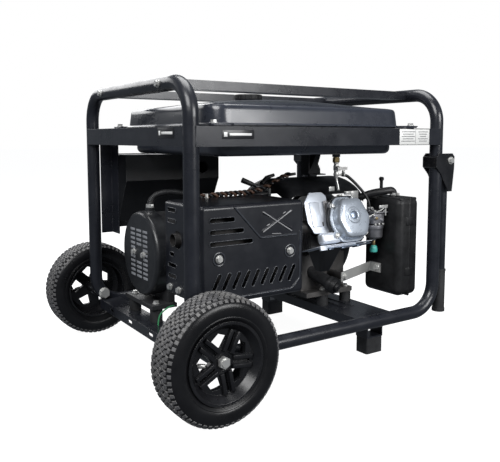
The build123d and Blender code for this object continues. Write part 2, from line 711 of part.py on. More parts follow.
def petcock_body():
    """The fuel tap: union nut, body, lever boss and side spigot."""
    x, y = TAP_X, TAP_Y
    nut = Pos(x, y, TAP_NUT[0]) * extrude(RegularPolygon(TAP_NUT_R, 6), amount=TAP_NUT[1] - TAP_NUT[0])
    body = nut + rod((x, y, TAP_OUTLET_Z - 8), (x, y, TAP_TOP), TAP_BODY_R)
    body += rod((x, y, TAP_LEVER_Z), (x, y - 10, TAP_LEVER_Z), TAP_BODY_R - 1)
    body += rod((x, y, TAP_OUTLET_Z), (x + 18, y, TAP_OUTLET_Z), HOSE_R - 1.2)
    pin = rod((x, y - 10, TAP_LEVER_Z), (x, y - 15, TAP_LEVER_Z), 2.5)
    return body + pin


def petcock_lever():
    """The tap's flat lever on its pin, pointing to the handle end when open."""
    x, y, z = TAP_X, TAP_Y - 10.4, TAP_LEVER_Z
    lever = rod((x, y, z), (x, y - 3, z), 6)
    lever += block((x, x + 26), (y - 3, y), (z - 3.5, z + 3.5))
    return lever - rod((x, y + 1, z), (x, y - 4, z), 2.5 + PIVOT_CLEARANCE)


HOSE_POINTS = [
    (TAP_X + 18, TAP_Y, TAP_OUTLET_Z), (TAP_X + 33, TAP_Y, TAP_OUTLET_Z),
    (TAP_X + 50, TAP_Y - 4, TAP_OUTLET_Z - 13), (TAP_X + 67, TAP_Y - 10, TAP_OUTLET_Z - 30),
    (TAP_X + 82, TAP_Y - 20, TAP_OUTLET_Z - 51), (CARB_X - 8, CARB_Y + 10, CARB_Z + 42),
    (CARB_X - 8, CARB_Y + 10, CARB_Z + 24),
]


def fuel_hose():
    """The hose from the tap to the carburettor."""
    return bent_rod(HOSE_POINTS, limp_bends(HOSE_POINTS), HOSE_R)


# ---------------------------------------------------------------- engine
def shaft_hole(radius):
    """A hole along the crank axis, longer than the machine."""
    return rod((-FRAME_X, CRANK_Y, CRANK_Z), (FRAME_X, CRANK_Y, CRANK_Z), radius)


def along_crank(start, end, radius):
    """A disc or bar about the crank axis between two X places."""
    return rod((start, CRANK_Y, CRANK_Z), (end, CRANK_Y, CRANK_Z), radius)


def on_cylinder(x, y, z):
    """A box in the tilted cylinder's own axes: X, up across it, and away from the crank."""
    return CYLINDER_PLANE * block(x, y, z)


def crankcase():
    """The cast crankcase: base flange, sump, crank chamber and the cylinder's deck."""
    low, high = CASE_X
    body = along_crank(low, high, CASE_R)
    body += block((low + 4, high - 4), (CASE_FRONT, CASE_BACK), (BASE_TOP, CRANK_Z - 25))
    body += on_cylinder((-54, 54), (-52, 52), (30, DECK))
    inner = along_crank(low + CASE_WALL, high - CASE_WALL, CASE_R - CASE_WALL)
    inner += block((low + 12, high - 12), (CASE_FRONT + CASE_WALL, CASE_BACK - CASE_WALL), (BASE_TOP, CRANK_Z - 33))
    inner += CYLINDER_PLANE * Pos(0, 0, 30) * Cylinder(BORE_R + 1, DECK, align=BOTTOM_UP)
    case = body - inner - shaft_hole(SHAFT_R + SHAFT_CLEARANCE)
    case += block(CASE_X, BASE_Y, (BASE_BOTTOM, BASE_TOP))
    boss = (STRAP_X[0], STRAP_Z[0])
    case += rod((boss[0], STRAP_Y + SHEET / 2, boss[1]), (boss[0], CASE_FRONT, boss[1]), 10)
    for index in range(5):
        y = CASE_FRONT + 16 + index * 14
        case += block((low + 1, low + 5), (y, y + 3), (BASE_TOP, CRANK_Z - 40))
    return drilled(case, ENGINE_BOLTS + STRAP_BOLTS)


def cylinder():
    """The finned barrel between the deck and the head."""
    barrel = CYLINDER_PLANE * Pos(0, 0, DECK) * Cylinder(BORE_R + 8, 90, align=BOTTOM_UP)
    for index in range(FIN_COUNT):
        z = DECK + 8 + index * FIN_PITCH
        barrel += on_cylinder((-66, 58), (-54, 52), (z, z + FIN_THICKNESS))
    return barrel - CYLINDER_PLANE * Pos(0, 0, DECK) * Cylinder(BORE_R, 90, align=BOTTOM_UP)


HEAD_FOOT = DECK + 90


def cylinder_head():
    """The head: finned block, exhaust port towards the muffler, intake and breather stubs."""
    head = on_cylinder((-50, 52), (-46, 46), (HEAD_FOOT, HEAD_FACE))
    for index in range(6):
        z = HEAD_FOOT + 5 + index * 10
        head += on_cylinder((-56, 55), (-52, 52), (z, z + FIN_THICKNESS))
    x, y, z = MUFFLER_PIPE_END
    head += rod((x, y, z), (CYLINDER_X - 40, y, z), 20)
    head -= rod((x - 1, y, z), (CYLINDER_X - 20, y, z), 13)
    head += rod((CYLINDER_X + 50, THROAT_Y, CARB_Z), (CARB_X - 20, THROAT_Y, CARB_Z), 15)
    start = Vector(*BREATHER_POINTS[0])
    back = start - (Vector(*BREATHER_POINTS[1]) - start) * 0.9
    head += rod(tuple(back), tuple(start), BREATHER_R - 3)
    plug = on_cylinder((18, 34), (40, 70), (HEAD_FOOT + 22, HEAD_FOOT + 38))
    return head - plug


def valve_outline(grow):
    """The valve cover's rounded hexagon, about the cylinder's axis."""
    points = [(-34, -54), (34, -54), (58, -4), (32, 52), (-34, 52), (-56, -4)]
    grown = [(x + grow * (1 if x > 0 else -1), y + grow * (1 if y > 0 else -1)) for x, y in points]
    return make_face(FilletPolyline(*grown, radius=12, close=True))


def rocker_cover():
    """The pressed valve cover: wide flange, tapered hexagonal body and a round centre boss."""
    flange = CYLINDER_PLANE * Pos(0, 0, HEAD_FACE) * extrude(valve_outline(4), amount=7)
    body = CYLINDER_PLANE * Pos(0, 0, HEAD_FACE) * extrude(valve_outline(-6), amount=COVER_DEPTH, taper=7)
    body = fillet(body.faces().sort_by(Axis(CYLINDER_PLANE.origin, CYLINDER_PLANE.z_dir))[-1].edges(), 4)
    boss = CYLINDER_PLANE * Pos(-6, 8, HEAD_FACE + COVER_DEPTH) * Cone(19, 16, 3, align=BOTTOM_UP)
    hollow = CYLINDER_PLANE * Pos(0, 0, HEAD_FACE) * extrude(valve_outline(-9), amount=COVER_DEPTH - 3, taper=7)
    return flange + body + boss - hollow


def head_shields():
    """Plated sheets on the head: one beside the exhaust port, one along its underside."""
    port = outline([(-112, -4), (-102, -18), (-60, -20), (-60, 74), (-92, 74), (-112, 56)])
    upper = CYLINDER_PLANE * Pos(0, 0, HEAD_FACE - 18) * extrude(port, amount=2)
    lower = on_cylinder((-112, 62), (-63, -60), (HEAD_FOOT - 4, HEAD_FACE + 14))
    lower += on_cylinder((-112, -90), (-70, -62), (HEAD_FACE + 8, HEAD_FACE + 14))
    x, y, z = MUFFLER_PIPE_END
    around_flange = rod((x - 9, y, z), (x + 1, y, z), PIPE_FLANGE_R + 0.6)
    return group([upper - around_flange, lower - around_flange])


def lower_cowl():
    """The tapering air duct that hangs from the sheet under the head."""
    top = -63.5
    wide = CYLINDER_PLANE * Plane.XZ.offset(-top) * Pos(-64, HEAD_FACE - 26) * RectangleRounded(72, 66, 12)
    narrow = Pos(CYLINDER_X - 64, CARB_Y + 28, NECK_START[2] + 22) * RectangleRounded(32, 30, 10)
    return loft([narrow, wide])


def hood_arc(drop):
    """The hood's arch across Y, lowered by its sheet for the inner face."""
    return ThreePointArc((CRANK_Y + 55, CRANK_Z + 117.8 - drop), (-30, HOOD_CROWN - drop), (-145 + drop, 424 - drop))


def fan_shroud():
    """The blower housing round the flywheel, and the hood over the cylinder."""
    inner = CASE_X[1] + 0.5
    housing = along_crank(inner, SHROUD_END, SHROUD_R) - along_crank(inner, SHROUD_END - SHEET, SHROUD_R - SHEET)
    housing -= along_crank(inner, SHROUD_END + 1, RECOIL_R - 25)
    outer_arc = hood_arc(0)
    inner_arc = hood_arc(SHEET)
    lip = Polyline(outer_arc @ 1, (-145, 402), (-145 + SHEET, 402), inner_arc @ 1)
    back = Line(outer_arc @ 0, inner_arc @ 0)
    length = SHROUD_END + 5
    hood = extrude(at_x(-5) * make_face(outer_arc + lip + inner_arc + back), amount=length)
    chord = Polyline(outer_arc @ 1, (-145, 402), outer_arc @ 0)
    hood += extrude(at_x(-5) * make_face(hood_arc(0) + chord), amount=SHEET)
    wing_arc = ThreePointArc((-144, 427), (-192, 424), (-226, 408))
    wing_low = ThreePointArc((-144, 427 - SHEET), (-192, 424 - SHEET), (-226 + SHEET, 408 - SHEET))
    wing = make_face(wing_arc + Line(wing_arc @ 1, wing_low @ 1) + wing_low + Line(wing_low @ 0, wing_arc @ 0))
    hood += extrude(at_x(CARB_X - 12) * wing, amount=SHROUD_END - CARB_X + 12)
    return housing + hood


def tank_stay():
    """A gusseted stay between the hood and the tank's underside."""
    foot = HOOD_CROWN - 0.5
    top = TANK_BOTTOM - 2.0
    x = (TAP_X + 6, TAP_X + 72)
    stay = block(x, (-3, 0), (foot + 2, top))
    stay -= extrude(at_y(1) * outline([(x[1] - 8, foot + 30), (x[1] + 1, foot + 14), (x[1] + 1, top - 6)]), amount=5)
    stay += block((x[0], x[0] + 3), (-34, 0), (foot + 2, top))
    stay += extrude(at_x(x[0] + 26) * outline([(0, top), (-34, top), (0, foot + 6)]), amount=3)
    stay += block((x[0], x[1] - 10), (-38, 0), (foot + 2, foot + 5))
    stay += block((x[0], x[1] - 6), (-38, 0), (top - 3, top))
    return stay


def recoil_housing():
    """The recoil starter's dished cover with its air slots, rope eye and spring post."""
    start = SHROUD_END
    end = start + RECOIL_DEPTH
    cover = along_crank(start, end, RECOIL_R)
    cover = fillet(cover.faces().sort_by(Axis.X)[-1].edges(), 12)
    hollow = along_crank(start - 1, end - SHEET, RECOIL_R - SHEET)
    cover -= fillet(hollow.faces().sort_by(Axis.X)[-1].edges(), 12 - SHEET)
    for index in range(12):
        turn = index * 30
        place = Plane(origin=(end, CRANK_Y, CRANK_Z), x_dir=(0, 1, 0), z_dir=(1, 0, 0))
        cover -= place * Rot(0, 0, turn) * Pos(56, 0) * extrude(slot(34, 8), amount=2 * SHEET, both=True)
    cover += along_crank(end - 1, start + 10, 8)
    eye_y = CRANK_Y + sqrt(RECOIL_R ** 2 - (GRIP_Z - CRANK_Z) ** 2)
    eye = rod((start + 18, eye_y - 8, GRIP_Z), (start + 18, eye_y + 8, GRIP_Z), 9)
    return cover + eye - rod((start + 18, eye_y - 20, GRIP_Z), (start + 18, eye_y + 9, GRIP_Z), 4)


def recoil_reel():
    """The rope reel on the spring post."""
    start = SHROUD_END + 12
    reel = along_crank(start, start + 14, REEL_R + 6)
    groove = along_crank(start + 3, start + 11, REEL_R + 7) - along_crank(start + 3, start + 11, REEL_R - 8)
    return reel - groove - along_crank(start - 1, start + 15, 8 + PIVOT_CLEARANCE)


def recoil_grip():
    """The pull grip, parked against its rope eye."""
    x = SHROUD_END + 18
    y = CRANK_Y + sqrt(RECOIL_R ** 2 - (GRIP_Z - CRANK_Z) ** 2) + 8.5
    grip = rod((x, y, GRIP_Z), (x, y + 12, GRIP_Z), 10)
    bar = rod((x, y + 20, GRIP_Z - 34), (x, y + 20, GRIP_Z + 34), 10)
    return grip + bar


def crankshaft():
    """One shaft for the engine and the rotor, with the crank throw between its webs."""
    webs = (CYLINDER_X - 36, CYLINDER_X - 20, CYLINDER_X + 20, CYLINDER_X + 36)
    shaft = along_crank(ALTERNATOR_END + 1, webs[1], SHAFT_R) + along_crank(webs[2], SHROUD_END + 6, SHAFT_R)
    for start, end in (webs[:2], webs[2:]):
        shaft += along_crank(start, end, STROKE / 2 + SHAFT_R + 4)
    z = CRANK_Z + STROKE / 2
    return shaft + rod((webs[1], CRANK_Y, z), (webs[2], CRANK_Y, z), SHAFT_R)


def flywheel():
    """The flywheel with its cooling fan blades, on the handle end of the shaft."""
    start = CASE_X[1] + 3
    wheel = along_crank(start, start + 12, FLYWHEEL_R)
    for index in range(16):
        place = Plane(origin=(start + 11, CRANK_Y, CRANK_Z), x_dir=(0, 1, 0), z_dir=(1, 0, 0))
        blade = Pos(FLYWHEEL_R - 22, 0, 0) * Box(38, 4, 17, align=BOTTOM_UP)
        wheel += place * Rot(0, 0, index * 360 / 16) * blade
    wheel += along_crank(start, start + 24, SHAFT_R + 14)
    return wheel - shaft_hole(SHAFT_R)


def rotor():
    """The alternator's wound rotor."""
    return along_crank(ALTERNATOR_END + 38, ALTERNATOR_END + 198, ROTOR_R) - shaft_hole(SHAFT_R)


def spark_plug():
    """The plug and its elbow cap in the head's upper pocket."""
    base = (26, 40.5, HEAD_FOOT + 30)
    place = CYLINDER_PLANE * Pos(*base)
    body = place * Rot(-90, 0, 0) * Cylinder(6.5, 20, align=BOTTOM_UP)
    boot = place * Pos(0, 20, 0) * Rot(-90, 0, 0) * Cylinder(7.5, 10, align=BOTTOM_UP)
    return body + boot


def oil_filler_neck():
    """The slanted neck on the crankcase's front."""
    start = Vector(*NECK_START)
    run = Vector(*NECK_RUN).normalized()
    end = start + run * NECK_LENGTH
    neck = rod(tuple(start - run * 10), tuple(end), NECK_R)
    neck += rod(tuple(end - run * 10), tuple(end), NECK_R + 3)
    neck &= block((0, 300), (-400, CASE_FRONT), (0, 400))
    return neck - rod(tuple(end - run * 40), tuple(end), NECK_R - 4)


def oil_cap():
    """The ribbed filler cap with its stub in the neck."""
    run = Vector(*NECK_RUN).normalized()
    seat = Vector(*NECK_START) + run * (NECK_LENGTH + 0.3)
    cap = rod(tuple(seat), tuple(seat + run * 13), OIL_CAP_R)
    cap += rod(tuple(seat + run * 13), tuple(seat + run * 19), OIL_CAP_R * 0.55)
    return cap + rod(tuple(seat - run * 20), tuple(seat), NECK_R - 4.4)


def carburettor():
    """The carburettor: throat along X, top flange, float bowl and drain."""
    x, y, z = CARB_X, CARB_Y, CARB_Z
    body = rod((x - 20, THROAT_Y, z), (x + 26, THROAT_Y, z), 19)
    body += block((x - 18, x + 22), (y - 18, THROAT_Y + 14), (z - 14, z + 16))
    body += block((x - 18, x + 28), (y - 24, THROAT_Y + 16), (z + 16, z + 20))
    body += rod((x, y, z - 20), (x, y, z - 12), BOWL_R + 1)
    body += rod((x, y, z - 50), (x, y, z - 19), BOWL_R)
    body += rod((x, y, z - 72), (x, y, z - 49), 5)
    body += rod((x, y, z - 88), (x, y, z - 72), 9)
    body += rod((x - 8, y + 10, z + 19), (x - 8, y + 10, z + 24), HOSE_R)
    return body - rod((x - 21, THROAT_Y, z), (x + 27, THROAT_Y, z), 13)


CHOKE_X = (AIR_BOX_X[0] + AIR_BOX_X[1]) / 2 - 3
CHOKE_Y = STRAP_Y
CHOKE_Z = AIR_BOX_Z[1] + 7


def choke_lever():
    """The choke lever on the lug that stands on the air cleaner."""
    x, y, z = CHOKE_X, CHOKE_Y, CHOKE_Z
    lever = rod((x, y - 2, z), (x, y + 2, z), 5.5)
    lever += block((x - 4, x + 4), (y - 2, y + 2), (z, z + 36))
    lever += rod((x, y - 4, z + 36), (x, y + 4, z + 36), 5.5)
    return lever - rod((x, y - 3, z), (x, y + 3, z), 2.5 + PIVOT_CLEARANCE)


BREATHER_POINTS = [
    (CYLINDER_X + 66, CARB_Y + 55, CARB_Z + 45), (CARB_X, CARB_Y + 25, CARB_Z + 63),
    (AIR_BOX_X[0] + 14, CARB_Y + 2, CARB_Z + 70), (AIR_BOX_X[0] + 36, CARB_Y - 3, CARB_Z + 71),
    (AIR_BOX_X[0] + 36, CARB_Y - 3, AIR_BOX_Z[1]),
]


def breather_hose():
    """The moulded hose from the head's breather to the air cleaner."""
    return bent_rod(BREATHER_POINTS, limp_bends(BREATHER_POINTS), BREATHER_R)


def air_cleaner_box():
    """The moulded air cleaner case, hollow, with the choke lever's lug and the intake mouth."""
    case = fillet(block(AIR_BOX_X, AIR_BOX_Y, AIR_BOX_Z).edges(), AIR_BOX_EDGE_R)
    inner = [(pair[0] + AIR_BOX_WALL, pair[1] - AIR_BOX_WALL) for pair in (AIR_BOX_X, AIR_BOX_Y, AIR_BOX_Z)]
    case -= fillet(block(*inner).edges(), AIR_BOX_EDGE_R - AIR_BOX_WALL)
    case -= rod((AIR_BOX_X[0] - 1, THROAT_Y, CARB_Z), (AIR_BOX_X[0] + 5, THROAT_Y, CARB_Z), 13)
    lug = block((CHOKE_X - 6, CHOKE_X + 6), (CHOKE_Y + 2.4, CHOKE_Y + 6), (AIR_BOX_Z[1] - AIR_BOX_WALL, CHOKE_Z + 4))
    pin = rod((CHOKE_X, CHOKE_Y - 3, CHOKE_Z), (CHOKE_X, CHOKE_Y + 4, CHOKE_Z), 2.5)
    return drilled(case + lug + pin, STRAP_BOLTS)


def air_cleaner_strap():
    """The steel strap from the crankcase boss to the air cleaner's side."""
    half = 12.5
    y = (STRAP_Y - SHEET / 2, STRAP_Y + SHEET / 2)
    shape = outline([
        (STRAP_X[0] - 13, STRAP_Z[0] - half), (STRAP_X[1] + SHEET, STRAP_Z[1] - half),
        (STRAP_X[1] + SHEET, STRAP_Z[1] + half), (STRAP_X[0] - 13, STRAP_Z[0] + half),
    ])
    strap = extrude(at_y(y[1]) * shape, amount=SHEET)
    strap += block((STRAP_X[1], STRAP_X[1] + SHEET), (STRAP_Y - 38, y[0]), (STRAP_Z[1] - half, STRAP_Z[1] + half))
    return drilled(strap, STRAP_BOLTS)


# ---------------------------------------------------------------- exhaust
MUFFLER_PIPE_END = (CYLINDER_X - 64, -142.0, 322.0)
PIPE_FLANGE_R = 26.0


def muffler():
    """The muffler: hollow body, inlet pipe, tail pipe, bosses and stay for its guard."""
    body = fillet(block(MUFFLER_X, MUFFLER_Y, MUFFLER_Z).edges(), 24)
    hollow = [(pair[0] + 2, pair[1] - 2) for pair in (MUFFLER_X, MUFFLER_Y, MUFFLER_Z)]
    x, y, z = MUFFLER_PIPE_END
    body += rod((MUFFLER_X[1] - 1, y, z), (x, y, z), 16)
    body += rod((x - 8, y, z), (x, y, z), PIPE_FLANGE_R)
    body += rod((OUTLET_TIP, OUTLET_Y, OUTLET_Z), (MUFFLER_X[0] + 1, OUTLET_Y, OUTLET_Z), OUTLET_R)
    for seat, _, _ in GUARD_FRONT_BOLTS:
        body += rod((seat[0], seat[1] + GUARD_SHEET, seat[2]), (seat[0], MUFFLER_Y[0] + 1, seat[2]), 9)
    stay_x = GUARD_X[0] + GUARD_SHEET
    stay_y = (OUTLET_Y - 18, OUTLET_Y + 50)
    step = MUFFLER_Z[0] + 30
    body += block((stay_x, stay_x + 3), stay_y, (GUARD_Z[0] + GUARD_EDGE_R, step))
    body += block((stay_x, MUFFLER_X[0] + 1), (stay_y[0] + 20, stay_y[1] - 20), (step - 3, step))
    body -= fillet(block(*hollow).edges(), 22)
    body -= rod((MUFFLER_X[1] - 5, y, z), (x + 1, y, z), 13)
    body -= rod((OUTLET_TIP - 1, OUTLET_Y, OUTLET_Z), (MUFFLER_X[0] + 5, OUTLET_Y, OUTLET_Z), OUTLET_R - OUTLET_WALL)
    return drilled(body, GUARD_FRONT_BOLTS + GUARD_END_BOLTS)


def guard_rib(points):
    """A half-round rib pressed outward along a line on the guard's front, as (x, z) points."""
    y = GUARD_Y[0]
    rib = rod((points[0][0], y, points[0][1]), (points[1][0], y, points[1][1]), RIB_R)
    for x, z in points:
        rib += Pos(x, y, z) * Sphere(RIB_R)
    return rib


def muffler_guard():
    """The guard round the muffler, open at its back: slots, ribs and a border pressed in its front."""
    x0, x1 = GUARD_X
    z0, z1 = GUARD_Z
    front = GUARD_Y[0]
    shell = block(GUARD_X, (front, GUARD_Y[1] + 20), GUARD_Z)
    shell = fillet(shell.edges(), GUARD_EDGE_R)
    inner = fillet(
        block((x0 + GUARD_SHEET, x1 - GUARD_SHEET), (front + GUARD_SHEET, GUARD_Y[1] + 40),
              (z0 + GUARD_SHEET, z1 - GUARD_SHEET)).edges(), GUARD_EDGE_R - GUARD_SHEET)
    shell -= inner
    shell &= block((x0 - 1, x1 + 1), (front - 1, GUARD_Y[1]), (z0 - 1, z1 + 1))
    diagonal = [(x0 + 81, z1 - 6), (x0 + 148, z1 - 77)]
    lines = [
        diagonal, [diagonal[1], (x1 - 22, z1 - 77)],
        [(x0 + 154, z1 - 22), (x1 - 36, z1 - 62)], [(x0 + 154, z1 - 62), (x1 - 36, z1 - 22)],
        [(x0 + 24, z0 + 12), (x1 - 34, z0 + 12)], [(x1 - 34, z0 + 12), (x1 - 12, z0 + 34)],
        [(x1 - 12, z0 + 34), (x1 - 12, z1 - 72)],
    ]
    for line in lines:
        shell += guard_rib(line)
    for row in range(3):
        right = x0 + 81 + row * 23
        z = z1 - 31 - row * 25
        cut = at_y(front + 5) * Pos((x0 + 20 + right) / 2, z) * slot(right - x0 - 20, 9)
        shell -= extrude(cut, amount=10)
    pitch = (x1 - x0 - 72) / 8
    for index in range(9):
        place = Pos(x0 + 36 + index * pitch, z0 + 49) * Rot(0, 0, 62)
        shell -= extrude(at_y(front + 5) * place * slot(39, 8.6), amount=10)
    for row in range(7):
        z = z1 - 19 - row * 25
        if abs(z - OUTLET_Z) > 30:
            length = 40 if row < 2 or row > 4 else 22
            shell -= extrude(at_x(x0 - 2) * Pos(GUARD_Y[1] - 33, z) * slot(length, 8), amount=6)
    shell -= rod((x0 - 5, OUTLET_Y, OUTLET_Z), (x0 + 5, OUTLET_Y, OUTLET_Z), OUTLET_R + 5)
    shell -= rod((x1 - 5, MUFFLER_PIPE_END[1], MUFFLER_PIPE_END[2]), (x1 + 5, MUFFLER_PIPE_END[1],
                                                                       MUFFLER_PIPE_END[2]), 22)
    return drilled(shell, GUARD_FRONT_BOLTS + GUARD_END_BOLTS)


# ---------------------------------------------------------------- alternator
def alternator_housing():
    """The alternator: barrel, bell to the crankcase, stator ring, end bracket and feet."""
    start = ALTERNATOR_END
    bell = (-40.0, CASE_X[0])
    body = along_crank(start, bell[0], ALTERNATOR_R)
    cone = Plane(origin=(bell[0], CRANK_Y, CRANK_Z), z_dir=(1, 0, 0)) * Cone(
        ALTERNATOR_R, CASE_R - 4, bell[1] - bell[0], align=BOTTOM_UP)
    body += cone
    body -= along_crank(start + 8, bell[1], CASE_R - 4 - ALTERNATOR_WALL)
    stator = along_crank(start + 36, start + 200, CASE_R - 6) - along_crank(start + 36, start + 200, ROTOR_R + AIR_GAP)
    body += stator
    foot_middle = ALTERNATOR_BOLTS[0][0][0]
    body += block((foot_middle - 18, start + 26), (CRANK_Y - 80, CRANK_Y + 80), FOOT_PLATE)
    body += block((start + 7, start + 25), (CRANK_Y - 70, CRANK_Y + 70), (FOOT_PLATE[1], CRANK_Z - 70))
    body -= along_crank(start + 8, start + 30, CASE_R - 4 - ALTERNATOR_WALL)
    body -= shaft_hole(SHAFT_R + SHAFT_CLEARANCE)
    return drilled(body, ALTERNATOR_BOLTS + COVER_BOLTS)


def alternator_end_cover():
    """The dished end cover with its columns of air slots and the cable gland on top."""
    face = END_COVER_FACE
    rim_end = ALTERNATOR_END + 5
    cover = along_crank(face, rim_end, END_COVER_R)
    cover = fillet(cover.faces().sort_by(Axis.X)[0].edges(), 10)
    hollow = along_crank(face + END_COVER_WALL, rim_end + 1, END_COVER_R - END_COVER_WALL)
    cover -= fillet(hollow.faces().sort_by(Axis.X)[0].edges(), 10 - END_COVER_WALL)
    for offset, count, length in ((36, 11, 25), (0, 11, 30), (-36, 11, 25)):
        for row in range(count):
            dz = (row - (count - 1) / 2) * VENT_PITCH
            if offset == 0 and abs(dz) < 2 * VENT_PITCH:
                continue
            cut = at_x(face - 1) * Pos(CRANK_Y + offset, CRANK_Z + dz) * slot(length, 6)
            cover -= extrude(cut, amount=END_COVER_WALL + 2)
    gland_x = HARNESS_POINTS[0][0]
    top = CRANK_Z + END_COVER_R
    cover += rod((gland_x, CRANK_Y, top - 4), (gland_x, CRANK_Y, top + 7), 11)
    for seat, _, _ in COVER_BOLTS:
        cover += rod((face + 1, seat[1], seat[2]), (ALTERNATOR_END, seat[1], seat[2]), 8)
    return drilled(cover, COVER_BOLTS)


# ---------------------------------------------------------------- control box
OUTLET_PLACES = [(BOX_X[0] + 42, BOX_Z[0] + 74), (BOX_X[0] + 102, BOX_Z[0] + 74)]
LOCK_OUTLET = (BOX_X[0] + 172, BOX_Z[0] + 74)
METER = (BOX_X[0] + 172, BOX_Z[0] + 146)
BREAKER = (BOX_X[1] - 42, BOX_Z[0] + 74)
SWITCH = (BOX_X[1] - 42, BOX_Z[0] + 146)


def box_profile(inset):
    """The box's section across Y: a straight upper back that slopes in to a shallow foot."""
    low, high = BOX_Z[0] + inset, BOX_Z[1] - inset
    return outline([
        (BOX_FRONT, low), (BOX_FRONT, high), (BOX_BACK + inset, high), (BOX_BACK + inset, BOX_Z[1] - 67),
        (BOX_FOOT_BACK + inset, BOX_Z[0] + 15), (BOX_FOOT_BACK + inset, low),
    ])


def control_box():
    """The sheet-metal box behind the panel, with a cable hole in its back."""
    box = extrude(at_x(BOX_X[0]) * box_profile(0), amount=BOX_X[1] - BOX_X[0])
    box -= extrude(at_x(BOX_X[0] + BOX_WALL) * box_profile(BOX_WALL), amount=BOX_X[1] - BOX_X[0] - 2 * BOX_WALL)
    hole = (BOX_X[1] - 51, BOX_Z[1] - 36)
    return box - rod((hole[0], BOX_BACK - 1, hole[1]), (hole[0], BOX_BACK + 5, hole[1]), 16)


def panel_cut(shape, place, depth):
    """A shape on the panel's face, run back from the face by a depth."""
    plane = Plane(origin=(place[0], BOX_FRONT + PANEL_THICKNESS, place[1]), x_dir=(-1, 0, 0), z_dir=(0, 1, 0))
    return plane * extrude(shape, amount=-depth)


def control_panel():
    """The face plate, cut for its outlets, meter and switches."""
    middle = ((BOX_X[0] + BOX_X[1]) / 2, (BOX_Z[0] + BOX_Z[1]) / 2)
    size = (BOX_X[1] - BOX_X[0] + 4, BOX_Z[1] - BOX_Z[0] + 4)
    panel = panel_cut(RectangleRounded(size[0], size[1], 6), middle, PANEL_THICKNESS)
    depth = PANEL_THICKNESS + 1
    for place in OUTLET_PLACES:
        panel -= panel_cut(RectangleRounded(44 + 2 * PANEL_GAP, 84 + 2 * PANEL_GAP, 6), place, depth)
    panel -= panel_cut(Circle(27 + PANEL_GAP), LOCK_OUTLET, depth)
    panel -= panel_cut(Circle(22 + PANEL_GAP), METER, depth)
    for place in (BREAKER, SWITCH):
        panel -= panel_cut(RectangleRounded(24, 34, 3), place, depth)
        panel += rocker_pin(place, 12.5, ROCKER_PIN_R)
    return panel


def rocker_pin(place, half_length, radius):
    """A level pin on a rocker's axis."""
    y = BOX_FRONT + PANEL_THICKNESS - ROCKER_DEPTH
    return rod((place[0] - half_length, y, place[1]), (place[0] + half_length, y, place[1]), radius)


def raised(shape, place, out, back):
    """A piece that stands out of the panel's face and reaches back behind it."""
    plane = Plane(origin=(place[0], BOX_FRONT + PANEL_THICKNESS - back, place[1]), x_dir=(-1, 0, 0), z_dir=(0, 1, 0))
    return plane * extrude(shape, amount=out + back)


def outlets():
    """Two twin outlets, the locking outlet and the voltmeter."""
    pieces = []
    for place in OUTLET_PLACES:
        outlet = raised(RectangleRounded(44, 84, 6), place, 2, 28)
        for dz in (-20, 20):
            for dx in (-6.5, 6.5):
                pin = panel_cut(Pos(dx, dz + 3) * Rectangle(2.2, 9), place, 14)
                outlet -= Pos(0, 3, 0) * pin
            outlet -= Pos(0, 3, 0) * panel_cut(Pos(0, dz - 8) * Circle(2.6), place, 14)
        pieces.append(outlet)
    lock = raised(Circle(27), LOCK_OUTLET, 5, 30)
    for turn in (0, 90, 180, 270):
        lock -= Pos(0, 5, 0) * panel_cut(Rot(0, 0, turn) * Pos(13, 0) * Rectangle(2.4, 9), LOCK_OUTLET, 16)
    pieces.append(lock)
    pieces.append(raised(Circle(22), METER, 3, 20))
    return group(pieces)


def rocker(place):
    """A rocker that turns on a level axis just behind the panel's face."""
    y = BOX_FRONT + PANEL_THICKNESS
    key = outline([(y - 8, -13), (y + 1.5, -14.5), (y + 3, 0), (y + 6.5, 14.5), (y - 8, 13)])
    body = Pos(place[0] - 10, 0, place[1]) * extrude(Plane.YZ * key, amount=20)
    return body - rocker_pin(place, 11, ROCKER_PIN_R + ROCKER_GAP)


# ---------------------------------------------------------------- wiring
HARNESS_POINTS = [
    (-290.0, CRANK_Y, CRANK_Z + END_COVER_R + 7), (-290.0, CRANK_Y, CRANK_Z + 130.0),
    (-268.0, CRANK_Y - 22, CRANK_Z + 148.0), (-238.0, CRANK_Y - 52, CRANK_Z + 149.0),
    (-206.0, CRANK_Y - 82, CRANK_Z + 138.0), (-160.0, CRANK_Y - 95, CRANK_Z + 129.0),
    (-108.0, CRANK_Y - 97, CRANK_Z + 128.0), (-58.0, CRANK_Y - 94, CRANK_Z + 131.0),
    (-6.0, CRANK_Y - 92, CRANK_Z + 137.0),
]
HARNESS_R = 8.0
EARTH_POINTS = [
    (-316.0, -40.0, CHANNEL_TOP), (-316.5, -42.0, 130.0), (-303.0, -50.0, 146.0),
    (-284.0, -48.0, 152.0), (-271.0, -38.0, 145.0), (-271.0, CRANK_Y - 80, 145.0),
]
EARTH_R = 1.8


def wiring_harness():
    """The loom from the alternator's gland, over the muffler guard, to the engine's hood."""
    return bent_rod(HARNESS_POINTS, limp_bends(HARNESS_POINTS), HARNESS_R)


def earth_lead():
    """The earth lead between the alternator's foot and the frame."""
    return bent_rod(EARTH_POINTS, limp_bends(EARTH_POINTS), EARTH_R)


